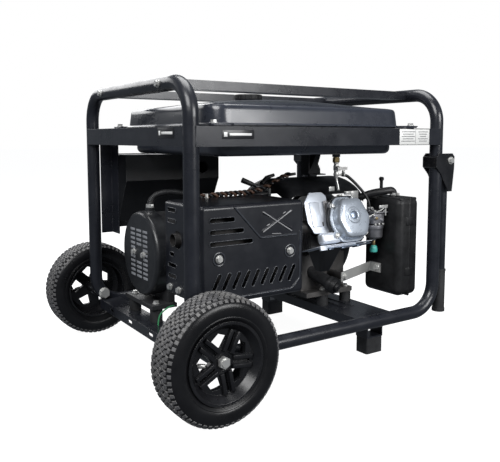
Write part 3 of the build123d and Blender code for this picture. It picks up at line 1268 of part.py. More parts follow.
# ---------------------------------------------------------------- the whole machine
def pieces():
    """Every node's name and solid, in the frame's own place."""
    yield "wheel_end_hoop", hoop(-1)
    yield "handle_end_hoop", hoop(1)
    yield "tank_rails", tank_rails()
    yield "top_bars", top_bars()
    yield "top_bar_bolts", top_bar_bolts()
    yield "cross_channels", cross_channels()
    yield "frame_brackets", frame_brackets()
    yield "rubber_feet", rubber_feet()
    yield "rubber_mounts", rubber_mounts()
    yield "flange_bolts", group([flange_bolt(*bolt) for bolt in FLANGE_BOLTS])
    yield "wheel_axle_bolts", wheel_axle_bolts()
    yield "handle_brackets", handle_brackets()
    yield "handle_pivot_bolts", handle_pivot_bolts()
    for name, side in SIDES.items():
        yield name + "_tyre", tyre(side)
        yield name + "_rim", rim(side)
        yield name + "_handle", handle(side)
        yield name + "_grip", handle_grip(side)
    yield "tank_upper_shell", tank_upper_shell()
    yield "tank_lower_shell", tank_lower_shell()
    yield "fuel_cap", fuel_cap()
    yield "petcock_body", petcock_body()
    yield "petcock_lever", petcock_lever()
    yield "fuel_hose", fuel_hose()
    yield "crankcase", crankcase()
    yield "cylinder", cylinder()
    yield "cylinder_head", cylinder_head()
    yield "rocker_cover", rocker_cover()
    yield "head_shields", head_shields()
    yield "lower_cowl", lower_cowl()
    yield "fan_shroud", fan_shroud()
    yield "tank_stay", tank_stay()
    yield "recoil_housing", recoil_housing()
    yield "recoil_reel", recoil_reel()
    yield "recoil_grip", recoil_grip()
    yield "crankshaft", crankshaft()
    yield "flywheel", flywheel()
    yield "rotor", rotor()
    yield "spark_plug", spark_plug()
    yield "oil_filler_neck", oil_filler_neck()
    yield "oil_cap", oil_cap()
    yield "carburettor", carburettor()
    yield "choke_lever", choke_lever()
    yield "breather_hose", breather_hose()
    yield "air_cleaner_box", air_cleaner_box()
    yield "air_cleaner_strap", air_cleaner_strap()
    yield "muffler", muffler()
    yield "muffler_guard", muffler_guard()
    yield "alternator_housing", alternator_housing()
    yield "alternator_end_cover", alternator_end_cover()
    yield "control_box", control_box()
    yield "control_panel", control_panel()
    yield "outlets", outlets()
    yield "breaker_switch", rocker(BREAKER)
    yield "engine_switch", rocker(SWITCH)
    yield "wiring_harness", wiring_harness()
    yield "earth_lead", earth_lead()


def main():
    os.makedirs("parts", exist_ok=True)
    for name, piece in pieces():
        export_step(Pos(-ORIGIN_X, 0, 0) * piece, f"parts/{name}.step")
    for name, points in (("fuel_hose", HOSE_POINTS), ("wiring_harness", HARNESS_POINTS), ("earth_lead", EARTH_POINTS)):
        print(name, "bend radii", [round(bend, 1) for bend in limp_bends(points)])


if __name__ == "__main__":
    main()
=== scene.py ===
import math

import bmesh
import bpy
from mathutils import Matrix, Vector


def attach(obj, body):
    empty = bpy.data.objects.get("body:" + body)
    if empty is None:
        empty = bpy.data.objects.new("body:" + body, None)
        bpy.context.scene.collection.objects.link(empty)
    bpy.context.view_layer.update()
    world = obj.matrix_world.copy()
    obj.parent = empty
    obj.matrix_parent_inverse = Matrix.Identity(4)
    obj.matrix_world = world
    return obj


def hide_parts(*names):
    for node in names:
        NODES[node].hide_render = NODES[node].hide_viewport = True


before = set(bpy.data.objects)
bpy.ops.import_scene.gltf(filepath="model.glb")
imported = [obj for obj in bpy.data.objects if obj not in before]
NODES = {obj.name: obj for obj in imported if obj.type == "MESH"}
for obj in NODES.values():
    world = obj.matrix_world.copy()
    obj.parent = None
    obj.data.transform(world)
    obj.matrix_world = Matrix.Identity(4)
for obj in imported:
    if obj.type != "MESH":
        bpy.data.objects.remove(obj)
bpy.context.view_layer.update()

bl_info = {
    "name": "Portable generator",
    "version": (1, 0, 0),
    "blender": (4, 5, 0),
    "location": "View3D > Sidebar > Generator",
    "description": "Builds the visual model of an open-frame portable generator on its CAD frame",
    "category": "Object",
}

SHIFT_X = 29.75           # millimetres from the tube frame's middle to the whole object's middle

CRANK = (55.0, 263.0)     # Y and Z of the crank axis
TILT = math.radians(18)
SIDES = {"exhaust_side": -1, "panel_side": 1}
WHEEL = (-336.0, 344.0, 125.0)


# ---------------------------------------------------------------- places and meshes
def at(x, y, z):
    """A point given in millimetres from the tube frame's middle, in metres in the shared frame."""
    return Vector(((x + SHIFT_X) / 1000, y / 1000, z / 1000))


def mm(value):
    return value / 1000


def on_cylinder(x, up, out):
    """A point in the tilted cylinder's own axes: along X, up across it, and out from the crank."""
    y = CRANK[0] - out * math.cos(TILT) + up * math.sin(TILT)
    z = CRANK[1] + out * math.sin(TILT) + up * math.cos(TILT)
    return at(138 + x, y, z)


CYLINDER_TURN = Matrix((
    (1, 0, 0), (0, math.sin(TILT), -math.cos(TILT)), (0, math.cos(TILT), math.sin(TILT)),
)).to_4x4()


def along(direction):
    """The turn that takes +Z to a direction."""
    return Vector(direction).to_track_quat("Z", "Y").to_matrix().to_4x4()


def piece(name, bm, material, body="frame", smooth=35.0, replaces=()):
    """Finishes a bmesh as one piece of the object."""
    mesh = bpy.data.meshes.new(name)
    bm.to_mesh(mesh)
    bm.free()
    mesh.materials.append(bpy.data.materials[material])
    obj = bpy.data.objects.new(name, mesh)
    bpy.context.scene.collection.objects.link(obj)
    mesh.shade_smooth()
    mesh.set_sharp_from_angle(angle=math.radians(smooth))
    if replaces:
        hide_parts(*replaces)
    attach(obj, body)
    return obj


def add_block(bm, centre, size, bevel=0.0, turn=None, segments=3):
    """A box in millimetres about a point, with rounded edges."""
    made = bmesh.ops.create_cube(bm, size=1)
    verts = made["verts"]
    bmesh.ops.scale(bm, verts=verts, vec=[mm(s) for s in size])
    if bevel:
        edges = list({e for v in verts for e in v.link_edges})
        out = bmesh.ops.bevel(bm, geom=edges, offset=mm(bevel), segments=segments, profile=0.5,
                              affect="EDGES", material=-1, clamp_overlap=True)
        verts = list({v for v in out["verts"]} | {v for v in verts if v.is_valid})
    place = Matrix.Translation(centre) @ (turn if turn else Matrix())
    bmesh.ops.transform(bm, matrix=place, verts=verts)
    return verts


def add_rod(bm, start, end, radius, end_radius=None, segments=32, bevel=0.0):
    """A round bar or a cone between two points, with softened rims."""
    run = end - start
    made = bmesh.ops.create_cone(bm, cap_ends=True, segments=segments, radius1=mm(radius),
                                 radius2=mm(radius if end_radius is None else end_radius), depth=run.length)
    verts = made["verts"]
    if bevel:
        rims = [e for e in {e for v in verts for e in v.link_edges}
                if any(len(f.verts) > 4 for f in e.link_faces)]
        out = bmesh.ops.bevel(bm, geom=rims, offset=mm(bevel), segments=3, profile=0.5, affect="EDGES",
                              material=-1, clamp_overlap=True)
        verts = list({v for v in out["verts"]} | {v for v in verts if v.is_valid})
    place = Matrix.Translation((start + end) / 2) @ along(run)
    bmesh.ops.transform(bm, matrix=place, verts=verts)
    return verts


def add_spun(bm, centre, axis, profile, steps=96):
    """A ring or solid of revolution from profile points of (radius, distance along the axis)."""
    turn = along(axis)
    verts = [bm.verts.new((mm(r), 0, mm(d))) for r, d in profile]
    edges = [bm.edges.new((a, b)) for a, b in zip(verts, verts[1:])]
    if profile[0][0] > 0 and profile[-1][0] > 0:
        edges.append(bm.edges.new((verts[-1], verts[0])))
    before = set(bm.verts) - set(verts)
    bmesh.ops.spin(bm, geom=verts + edges, cent=(0, 0, 0), axis=(0, 0, 1), angle=math.tau, steps=steps,
                   use_merge=True)
    made = [v for v in bm.verts if v not in before]
    bmesh.ops.remove_doubles(bm, verts=made, dist=1e-6)
    made = [v for v in bm.verts if v not in before]
    bmesh.ops.transform(bm, matrix=Matrix.Translation(centre) @ turn, verts=made)
    faces = list({f for v in made for f in v.link_faces})
    bmesh.ops.recalc_face_normals(bm, faces=faces)
    return made


def spline_points(points, resolution=10):
    """Points along the smooth curve that a list of control points gives."""
    curve = bpy.data.curves.new("route", "CURVE")
    curve.dimensions = "3D"
    curve.resolution_u = resolution
    spline = curve.splines.new("NURBS")
    spline.points.add(len(points) - 1)
    for target, point in zip(spline.points, points):
        target.co = (*point, 1)
    spline.order_u = 3
    spline.use_endpoint_u = True
    holder = bpy.data.objects.new("route", curve)
    mesh = bpy.data.meshes.new_from_object(holder)
    found = [v.co.copy() for v in mesh.vertices]
    bpy.data.objects.remove(holder)
    bpy.data.curves.remove(curve)
    bpy.data.meshes.remove(mesh)
    return found


def add_tube(bm, path, radius, segments=16):
    """A closed tube along a path; the radius is a number or a function of the distance run."""
    before = set(bm.verts)
    ring_before = None
    run = 0.0
    turn = None
    for index, here in enumerate(path):
        ahead = path[min(index + 1, len(path) - 1)]
        behind = path[max(index - 1, 0)]
        direction = (ahead - behind).normalized()
        if index:
            run += (here - behind).length * 1000
        if turn is None:
            turn = direction.to_track_quat("Z", "Y")
        else:
            turn = (turn @ Vector((0, 0, 1))).rotation_difference(direction) @ turn
        size = radius(run) if callable(radius) else radius
        place = Matrix.Translation(here) @ turn.to_matrix().to_4x4()
        made = bmesh.ops.create_circle(bm, segments=segments, radius=mm(size),
                                       cap_ends=index in (0, len(path) - 1), matrix=place)
        edges = list({e for v in made["verts"] for e in v.link_edges})
        if ring_before:
            bmesh.ops.bridge_loops(bm, edges=ring_before + edges)
        ring_before = edges
    faces = list({f for v in bm.verts if v not in before for f in v.link_faces})
    bmesh.ops.recalc_face_normals(bm, faces=faces)


def even_path(points, step):
    """A path's points redone at even distances, in millimetres."""
    out = [points[0]]
    left = mm(step)
    for a, b in zip(points, points[1:]):
        length = (b - a).length
        done = 0.0
        while length - done >= left:
            done += left
            out.append(a.lerp(b, done / length))
            left = mm(step)
        left -= length - done
    out.append(points[-1])
    return out


def route_length(points):
    path = spline_points(points, 24)
    return sum((b - a).length for a, b in zip(path, path[1:]))


# ---------------------------------------------------------------- shared shader groups
def new_group(name, inputs, outputs):
    group = bpy.data.node_groups.new(name, "ShaderNodeTree")
    for label, kind, default in inputs:
        made = group.interface.new_socket(label, in_out="INPUT", socket_type=kind)
        if default is not None:
            made.default_value = default
    for label, kind in outputs:
        group.interface.new_socket(label, in_out="OUTPUT", socket_type=kind)
    return group, group.nodes.new("NodeGroupInput"), group.nodes.new("NodeGroupOutput")


def math_node(tree, operation, first, second=None, clamp=False):
    node = tree.nodes.new("ShaderNodeMath")
    node.operation = operation
    node.use_clamp = clamp
    for socket, value in zip(node.inputs, (first, second)):
        if value is None:
            continue
        if isinstance(value, (int, float)):
            socket.default_value = value
        else:
            tree.links.new(value, socket)
    return node.outputs[0]


def mix_colour(tree, share, first, second):
    node = tree.nodes.new("ShaderNodeMix")
    node.data_type = "RGBA"
    for socket, value in ((node.inputs[0], share), (node.inputs[6], first), (node.inputs[7], second)):
        if isinstance(value, (int, float)):
            socket.default_value = value
        elif isinstance(value, tuple):
            socket.default_value = (*value[:3], 1)
        else:
            tree.links.new(value, socket)
    return node.outputs[2]


def grain_group():
    """Two sizes of surface grain: a fine height and a broad, cloudy mask."""
    group, given, out = new_group(
        "Surface grain", [("Scale", "NodeSocketFloat", 400.0)],
        [("Fine", "NodeSocketFloat"), ("Cloud", "NodeSocketFloat")])
    place = group.nodes.new("ShaderNodeTexCoord")
    fine = group.nodes.new("ShaderNodeTexNoise")
    fine.inputs["Detail"].default_value = 3
    cloud = group.nodes.new("ShaderNodeTexNoise")
    cloud.inputs["Scale"].default_value = 14
    cloud.inputs["Detail"].default_value = 6
    cloud.inputs["Roughness"].default_value = 0.62
    for node in (fine, cloud):
        group.links.new(place.outputs["Object"], node.inputs["Vector"])
    group.links.new(given.outputs["Scale"], fine.inputs["Scale"])
    group.links.new(fine.outputs[0], out.inputs["Fine"])
    ramp = group.nodes.new("ShaderNodeMapRange")
    ramp.inputs["From Min"].default_value = 0.35
    ramp.inputs["From Max"].default_value = 0.68
    group.links.new(cloud.outputs[0], ramp.inputs["Value"])
    group.links.new(ramp.outputs[0], out.inputs["Cloud"])
    return group


def edge_group():
    """Softened edges: the rounded normal, and a mask that is 1 where paint rubs off."""
    group, given, out = new_group(
        "Edge wear", [("Radius", "NodeSocketFloat", 0.0012), ("Amount", "NodeSocketFloat", 0.5)],
        [("Normal", "NodeSocketVector"), ("Mask", "NodeSocketFloat")])
    bevel = group.nodes.new("ShaderNodeBevel")
    bevel.samples = 4
    group.links.new(given.outputs["Radius"], bevel.inputs["Radius"])
    flat = group.nodes.new("ShaderNodeNewGeometry")
    dot = group.nodes.new("ShaderNodeVectorMath")
    dot.operation = "DOT_PRODUCT"
    group.links.new(bevel.outputs[0], dot.inputs[0])
    group.links.new(flat.outputs["Normal"], dot.inputs[1])
    edge = math_node(group, "SUBTRACT", 1.0, dot.outputs["Value"], True)
    edge = math_node(group, "MULTIPLY", edge, 9.0, True)
    place = group.nodes.new("ShaderNodeTexCoord")
    noise = group.nodes.new("ShaderNodeTexNoise")
    noise.inputs["Scale"].default_value = 60
    noise.inputs["Detail"].default_value = 5
    group.links.new(place.outputs["Object"], noise.inputs["Vector"])
    broken = math_node(group, "SUBTRACT", noise.outputs[0], 0.36, True)
    broken = math_node(group, "MULTIPLY", broken, 3.4, True)
    worn = math_node(group, "MULTIPLY", edge, broken, True)
    worn = math_node(group, "MULTIPLY", worn, given.outputs["Amount"], True)
    group.links.new(bevel.outputs[0], out.inputs["Normal"])
    group.links.new(worn, out.inputs["Mask"])
    return group


def dust_group():
    """Settled dust: most on faces that look up, in broken patches."""
    group, given, out = new_group(
        "Dust", [("Amount", "NodeSocketFloat", 0.2)], [("Mask", "NodeSocketFloat")])
    flat = group.nodes.new("ShaderNodeNewGeometry")
    parts = group.nodes.new("ShaderNodeSeparateXYZ")
    group.links.new(flat.outputs["Normal"], parts.inputs[0])
    upward = math_node(group, "ADD", math_node(group, "MULTIPLY", parts.outputs[2], 0.6), 0.4, True)
    place = group.nodes.new("ShaderNodeTexCoord")
    noise = group.nodes.new("ShaderNodeTexNoise")
    noise.inputs["Scale"].default_value = 26
    noise.inputs["Detail"].default_value = 7
    noise.inputs["Roughness"].default_value = 0.7
    group.links.new(place.outputs["Object"], noise.inputs["Vector"])
    patch = math_node(group, "SUBTRACT", noise.outputs[0], 0.38, True)
    patch = math_node(group, "MULTIPLY", patch, 3.0, True)
    mask = math_node(group, "MULTIPLY", upward, patch)
    mask = math_node(group, "MULTIPLY", mask, given.outputs["Amount"], True)
    group.links.new(mask, out.inputs["Mask"])
    return group


def place_group(tree, name, **values):
    node = tree.nodes.new("ShaderNodeGroup")
    node.node_tree = bpy.data.node_groups[name]
    for label, value in values.items():
        node.inputs[label].default_value = value
    return node


ROUGH_SPREAD = 0.12       # how far the cloudy variation takes the roughness, in all
DUST_ROUGHNESS = 0.4      # roughness added where dust lies thickest
COAT_ROUGHNESS = 0.12


def finish(name, colour, rough, metal=0.0, vary=0.25, grain=500.0, bump=0.15, wear=0.3,
           worn=(0.35, 0.35, 0.36), dust=0.12, edge=0.0012, coat=0.0, dusty=(0.36, 0.37, 0.39),
           depth=0.0002, shine=0.5):
    """A complete surface: colour, cloudy variation, grain, softened worn edges and dust."""
    material = bpy.data.materials.new(name)
    material.use_nodes = True
    tree = material.node_tree
    shader = tree.nodes["Principled BSDF"]
    shader.inputs["Specular IOR Level"].default_value = shine
    grains = place_group(tree, "Surface grain", Scale=grain)
    edges = place_group(tree, "Edge wear", Radius=edge, Amount=wear)
    dusts = place_group(tree, "Dust", Amount=dust)
    darker = tuple(c * (1 - vary) for c in colour)
    lighter = tuple(min(1.0, c * (1 + vary)) for c in colour)
    base = mix_colour(tree, grains.outputs["Cloud"], darker, lighter)
    base = mix_colour(tree, edges.outputs["Mask"], base, worn)
    base = mix_colour(tree, dusts.outputs["Mask"], base, dusty)
    tree.links.new(base, shader.inputs["Base Color"])
    spread = math_node(tree, "MULTIPLY", grains.outputs["Cloud"], ROUGH_SPREAD)
    roughness = math_node(tree, "ADD", spread, rough - ROUGH_SPREAD / 2, True)
    dulled = math_node(tree, "MULTIPLY", dusts.outputs["Mask"], DUST_ROUGHNESS)
    roughness = math_node(tree, "ADD", roughness, dulled, True)
    tree.links.new(roughness, shader.inputs["Roughness"])
    if metal:
        bare = math_node(tree, "SUBTRACT", 1.0, dusts.outputs["Mask"])
        bare = math_node(tree, "MULTIPLY", bare, metal, True)
        tree.links.new(bare, shader.inputs["Metallic"])
    if coat:
        shader.inputs["Coat Weight"].default_value = coat
        shader.inputs["Coat Roughness"].default_value = COAT_ROUGHNESS
    relief = tree.nodes.new("ShaderNodeBump")
    relief.inputs["Strength"].default_value = bump
    relief.inputs["Distance"].default_value = depth
    tree.links.new(grains.outputs["Fine"], relief.inputs["Height"])
    tree.links.new(edges.outputs["Normal"], relief.inputs["Normal"])
    tree.links.new(relief.outputs[0], shader.inputs["Normal"])


def make_finishes(look):
    grain_group()
    edge_group()
    dust_group()
    paint = tuple(look.frame_colour)
    tank = tuple(look.tank_colour)
    finish("Frame paint", paint, 0.30, vary=0.16, grain=900, bump=0.25, wear=0.25, dust=0.05,
           coat=0.15, shine=0.45)
    finish("Bracket gloss", (0.0055, 0.0055, 0.0068), 0.24, vary=0.2, bump=0.1, wear=0.2, dust=0.08,
           coat=0.4)
    finish("Tank paint", tank, 0.30, vary=0.06, grain=1200, bump=0.12, wear=0.05, dust=0.0, coat=0.35)
    finish("Guard paint", (0.0065, 0.0075, 0.0115), 0.34, vary=0.14, grain=1000, bump=0.2, wear=0.3,
           dust=0.04, coat=0.1)
    finish("Black sheet", (0.0070, 0.0075, 0.0090), 0.38, vary=0.2, grain=900, bump=0.25, wear=0.35,
           dust=0.05, shine=0.4)
    finish("Zinc", (0.66, 0.66, 0.64), 0.34, 0.7, vary=0.14, grain=700, bump=0.12, wear=0.0,
           dust=0.14, edge=0.0006)
    finish("Bright sheet", (0.76, 0.81, 0.89), 0.38, 0.45, vary=0.08, grain=500, bump=0.12, wear=0.0,
           dust=0.05)
    finish("Chrome", (0.48, 0.53, 0.60), 0.26, 0.55, vary=0.05, grain=300, bump=0.05, wear=0.0,
           dust=0.03, edge=0.002)
    finish("Block casting", (0.10, 0.095, 0.092), 0.52, 0.5, vary=0.25, grain=650, bump=0.55, wear=0.35,
           worn=(0.5, 0.47, 0.43), dust=0.22, depth=0.0005)
    finish("Dark casting", (0.030, 0.030, 0.032), 0.5, 0.3, vary=0.25, grain=650, bump=0.5, wear=0.35,
           worn=(0.2, 0.2, 0.2), dust=0.12, depth=0.0005)
    finish("Fin casting", (0.24, 0.235, 0.24), 0.48, 0.5, vary=0.2, grain=650, bump=0.45, wear=0.3,
           worn=(0.55, 0.52, 0.48), dust=0.18, depth=0.0004)
    finish("Bright alloy", (0.70, 0.69, 0.67), 0.40, 0.6, vary=0.18, grain=700, bump=0.35, wear=0.2,
           worn=(0.8, 0.8, 0.78), dust=0.14)
    finish("Blued steel", (0.30, 0.36, 0.46), 0.34, 0.9, vary=0.3, grain=300, bump=0.1, wear=0.2,
           dust=0.1)
    # Near black as painted shade: darkened so that the muffler looks shaded through the guard's slots.
    finish("Muffler steel", (0.030, 0.028, 0.027), 0.55, 0.5, vary=0.35, grain=300, bump=0.3,
           wear=0.1, dust=0.15)
    finish("Tyre rubber", (0.0062, 0.0064, 0.0075), 0.30, vary=0.25, grain=800, bump=0.4, wear=0.25,
           worn=(0.09, 0.088, 0.085), dust=0.03, dusty=(0.20, 0.19, 0.18), edge=0.0015, shine=0.3)
    finish("Tread rubber", (0.070, 0.070, 0.075), 0.55, vary=0.35, grain=500, bump=0.6, wear=0.5,
           worn=(0.22, 0.21, 0.20), dust=0.55, dusty=(0.34, 0.33, 0.31), edge=0.0015)
    finish("Foot rubber", (0.008, 0.008, 0.009), 0.66, vary=0.25, grain=700, bump=0.4, wear=0.1,
           dust=0.2)
    finish("Hose rubber", (0.0065, 0.0065, 0.0075), 0.42, vary=0.2, grain=900, bump=0.2, wear=0.05,
           dust=0.1)
    finish("Rim plastic", (0.0065, 0.0066, 0.0080), 0.28, vary=0.15, grain=1100, bump=0.35, wear=0.15,
           worn=(0.10, 0.10, 0.10), dust=0.03, shine=0.4)
    finish("Box plastic", (0.0050, 0.0050, 0.0056), 0.46, vary=0.14, grain=1500, bump=0.6, wear=0.05,
           worn=(0.05, 0.05, 0.05), dust=0.10, edge=0.002, shine=0.35)
    finish("Gloss plastic", (0.018, 0.018, 0.02), 0.22, vary=0.1, grain=700, bump=0.05, wear=0.05,
           worn=(0.06, 0.06, 0.06), dust=0.06, coat=0.2)
    finish("Brass", (0.62, 0.46, 0.22), 0.33, 1.0, vary=0.2, grain=600, bump=0.15, wear=0.0,
           dust=0.12, edge=0.0006)
    finish("Vent grey", (0.010, 0.011, 0.013), 0.34, vary=0.12, grain=900, bump=0.2, wear=0.3,
           dust=0.1, coat=0.15)
    finish("Panel face", (0.05, 0.052, 0.056), 0.36, vary=0.1, grain=900, bump=0.2, wear=0.15,
           dust=0.06)
    finish("Ceramic", (0.86, 0.85, 0.80), 0.2, vary=0.05, grain=200, bump=0.05, wear=0.0, dust=0.08)
    finish("Shaft steel", (0.30, 0.29, 0.28), 0.42, 0.9, vary=0.2, grain=400, bump=0.2, wear=0.1,
           dust=0.05)
    finish("Earth green", (0.05, 0.30, 0.12), 0.42, vary=0.12, grain=900, bump=0.1, wear=0.0, dust=0.1)
    finish("Teal cap", (0.06, 0.42, 0.36), 0.38, vary=0.12, grain=900, bump=0.1, wear=0.0, dust=0.1)
    finish("Wire brown", (0.10, 0.05, 0.03), 0.48, vary=0.2, grain=900, bump=0.2, wear=0.0, dust=0.12)
    finish("Tie white", (0.78, 0.77, 0.73), 0.40, vary=0.06, grain=900, bump=0.1, wear=0.0, dust=0.08)
    finish("Label black", (0.010, 0.010, 0.012), 0.30, vary=0.08, grain=900, bump=0.05, wear=0.0,
           dust=0.05)
    finish("Label white", (0.80, 0.80, 0.78), 0.36, vary=0.04, grain=900, bump=0.05, wear=0.0,
           dust=0.06)
    finish("Label grey", (0.20, 0.20, 0.21), 0.40, vary=0.05, grain=900, bump=0.05, wear=0.0, dust=0.05)
    finish("Pot metal", (0.27, 0.27, 0.29), 0.42, 0.85, vary=0.3, grain=700, bump=0.35, wear=0.3,
           worn=(0.6, 0.6, 0.6), dust=0.1)
    finish("Screen grey", (0.27, 0.28, 0.30), 0.45, vary=0.15, grain=900, bump=0.2, wear=0.0, dust=0.1)
    # Light grey on the cross's ribs: partly worn paint, partly a painted highlight for the glints along the
    # pressed rib.
    finish("Rib wear", (0.30, 0.30, 0.31), 0.35, vary=0.35, grain=500, bump=0.2, wear=0.0, dust=0.05)
    # Lighter than the guard's own paint: a painted highlight along the slot lips, fold lines and bolt
    # collars.
    finish("Lip paint", (0.034, 0.038, 0.047), 0.26, vary=0.2, grain=900, bump=0.1, wear=0.2,
           dust=0.05, coat=0.2)
    finish("Dial white", (0.82, 0.82, 0.80), 0.3, vary=0.03, grain=900, bump=0.02, wear=0.0, dust=0.04)


NODE_FINISH = {
    "Frame paint": ["wheel_end_hoop", "handle_end_hoop", "tank_rails", "top_bars", "cross_channels",
                    "frame_brackets", "exhaust_side_handle", "panel_side_handle"],
    "Bracket gloss": ["handle_brackets"],
    "Zinc": ["top_bar_bolts", "flange_bolts", "wheel_axle_bolts", "handle_pivot_bolts", "air_cleaner_strap"],
    "Bright sheet": ["head_shields"],
    "Foot rubber": ["rubber_feet", "rubber_mounts", "exhaust_side_grip", "panel_side_grip", "recoil_grip"],
    "Rim plastic": ["exhaust_side_rim", "panel_side_rim"],
    "Tank paint": ["tank_upper_shell", "tank_lower_shell"],
    "Box plastic": ["fuel_cap", "air_cleaner_box", "oil_cap", "choke_lever"],
    "Gloss plastic": ["breaker_switch", "engine_switch", "outlets"],
    "Brass": ["petcock_body"],
    "Bright alloy": ["petcock_lever", "carburettor", "recoil_reel"],
    "Block casting": ["crankcase"],
    "Dark casting": ["oil_filler_neck", "alternator_housing"],
    "Fin casting": ["cylinder", "cylinder_head"],
    "Chrome": ["rocker_cover"],
    "Black sheet": ["lower_cowl", "fan_shroud", "tank_stay", "recoil_housing", "control_box"],
    "Guard paint": ["muffler_guard"],
    "Shaft steel": ["crankshaft", "flywheel", "rotor"],
    "Ceramic": ["spark_plug"],
    "Muffler steel": ["muffler"],
    "Vent grey": ["alternator_end_cover"],
    "Panel face": ["control_panel"],
}


def dress_nodes():
    """Every carried-over piece gets its finish."""
    for finish_name, nodes in NODE_FINISH.items():
        for node in nodes:
            mesh = NODES[node].data
            mesh.materials.clear()
            mesh.materials.append(bpy.data.materials[finish_name])


# ---------------------------------------------------------------- wheels
def tread_block(bm, angle, across, size, skew, centre, side):
    """One rubber block, leaning down the shoulder when it lies far from the middle."""
    length, width, height = size
    verts = bmesh.ops.create_cube(bm, size=1)["verts"]
    bmesh.ops.scale(bm, verts=verts, vec=(mm(length), mm(width), mm(height)))
    top = [v for v in verts if v.co.z > 0]
    bmesh.ops.scale(bm, verts=top, vec=(0.84, 0.84, 1))
    fall = max(0.0, abs(across) - 24)
    radius = 125.0 - height / 2 - 0.1 - abs(across) * 0.02 - fall * fall * 0.055
    place = (Matrix.Translation(centre) @ Matrix.Rotation(angle, 4, "Y")
             @ Matrix.Translation((0, side * mm(across), mm(radius)))
             @ Matrix.Rotation(-side * math.copysign(math.radians(4.6 * fall), across), 4, "X")
             @ Matrix.Rotation(skew, 4, "Z"))
    bmesh.ops.transform(bm, matrix=place, verts=verts)


def build_tyre(look, name, side):
    """The carcass with its bead and shoulder lines, and the tread laid round it."""
    centre = at(WHEEL[0], side * WHEEL[1], WHEEL[2])
    bm = bmesh.new()
    half = 40.0
    profile = [
        (79.0, -half + 7), (83.0, -half + 5), (86.0, -half + 2.4), (88.0, -half + 1.4),
        (89.5, -half + 2.2), (91.0, -half + 1.2), (97.0, -half + 0.2), (104.0, -half + 0.1),
        (111.0, -half + 1.4), (116.5, -half + 4.6), (120.0, -half + 9), (121.8, -half + 15),
        (122.2, -half + 24), (122.2, 0),
    ]
    profile += [(r, -d) for r, d in reversed(profile[:-1])]
    profile += [(79.0, half - 16), (79.0, -half + 16)]
    add_spun(bm, centre, (0, 1, 0), profile, steps=128)
    piece(name + "_tyre_body", bm, "Tyre rubber", name + "_wheel", 50, [name + "_tyre"])
    bm = bmesh.new()
    pitch = math.tau / look.tread_pitches
    for index in range(look.tread_pitches):
        angle = index * pitch
        between = angle + pitch / 2
        tread_block(bm, angle, 0.0, (10.2, 7.2, 3.0), math.radians(28), centre, side)
        for sign in (-1, 1):
            for place, across, size, skew in (
                    (between, 8.4, (10.0, 7.0, 3.0), -28), (angle, 17.0, (10.0, 7.2, 3.0), 26),
                    (between, 25.6, (9.4, 7.4, 3.2), -14), (angle, 33.4, (7.6, 8.6, 3.6), 0)):
                tread_block(bm, place, sign * across, size, math.radians(skew * sign), centre, side)
    piece(name + "_tread", bm, "Tread rubber", name + "_wheel", 20)


def build_rim_trim(name, side):
    """Raised twin ribs on the spokes, and the wide smooth lip."""
    x, middle, z = WHEEL
    bm = bmesh.new()
    for index in range(10):
        spoke = math.radians(65 + (index // 2) * 72)
        before = set(bm.verts)
        verts = bmesh.ops.create_cube(bm, size=1)["verts"]
        bmesh.ops.scale(bm, verts=verts, vec=(mm(45), mm(7), mm(11)))
        bmesh.ops.scale(bm, verts=[v for v in verts if v.co.y * side > 0], vec=(0.94, 1, 0.7))
        edges = list({e for v in verts for e in v.link_edges})
        bmesh.ops.bevel(bm, geom=edges, offset=mm(1.2), segments=2, profile=0.5, affect="EDGES",
                        material=-1)
        place = (Matrix.Translation(at(x, side * (middle + 24.6), z)) @ Matrix.Rotation(-spoke, 4, "Y")
                 @ Matrix.Translation((mm(41), 0, mm(8.8) * (1 if index % 2 else -1))))
        bmesh.ops.transform(bm, matrix=place, verts=[v for v in bm.verts if v not in before])
    lip = [
        (66.5, 21.0), (69.5, 21.6), (73.0, 25.0), (75.4, 30.5), (77.0, 36.5), (79.6, 38.4), (80.3, 37.2),
        (80.3, 35.4), (77.8, 34.8), (76.4, 29.6), (73.6, 23.4), (70.0, 20.2), (66.5, 19.6),
    ]
    add_spun(bm, at(x, side * middle, z), (0, side, 0), lip, 96)
    bmesh.ops.recalc_face_normals(bm, faces=bm.faces)
    piece(name + "_rim_trim", bm, "Rim plastic", name + "_wheel", 35)


def build_valve(name, side):
    """The air valve that leans in from the rim's well, with its light cap."""
    x, middle, z = WHEEL
    root = at(x - 63, side * (middle - 6), z - 4)
    tip = at(x - 43, side * (middle + 10), z - 3)
    bm = bmesh.new()
    add_rod(bm, root, tip, 3.2, segments=20)
    piece(name + "_air_valve", bm, "Hose rubber", name + "_wheel", 40)
    bm = bmesh.new()
    add_rod(bm, tip - (tip - root) * 0.2, tip + (tip - root) * 0.4, 4.8, 4.2, 20, 0.8)
    piece(name + "_valve_cap", bm, "Zinc", name + "_wheel", 40)


# ---------------------------------------------------------------- fuel tank
def rounded(px, py, half_x, half_y, corner):
    """A point on a square ring moved on to a rounded rectangle's outline."""
    x, y = px * half_x, py * half_y
    cx, cy = half_x - corner, half_y - corner
    if abs(x) > cx and abs(y) > cy:
        away = Vector((abs(x) - cx, abs(y) - cy)).normalized() * corner
        x = math.copysign(cx + away.x, x)
        y = math.copysign(cy + away.y, y)
    return x, y


TANK_EDGE = [                # (share of the grid, inset, height) from the seam flange up to the crown's edge
    (1.0, -8.0, 568.6), (0.985, -8.0, 570.9), (0.97, -1.5, 571.1), (0.955, 0.0, 573.0), (0.935, 1.2, 586.0),
    (0.915, 3.4, 601.0), (0.895, 4.6, 606.5), (0.875, 7.2, 610.2), (0.855, 11.5, 612.2), (0.83, 20.0, 613.6),
]


def tank_edge(share):
    for (a, inset_a, z_a), (b, inset_b, z_b) in zip(TANK_EDGE, TANK_EDGE[1:]):
        if share >= b:
            mix = (a - share) / (a - b)
            return inset_a + (inset_b - inset_a) * mix, z_a + (z_b - z_a) * mix
    return TANK_EDGE[-1][1:]


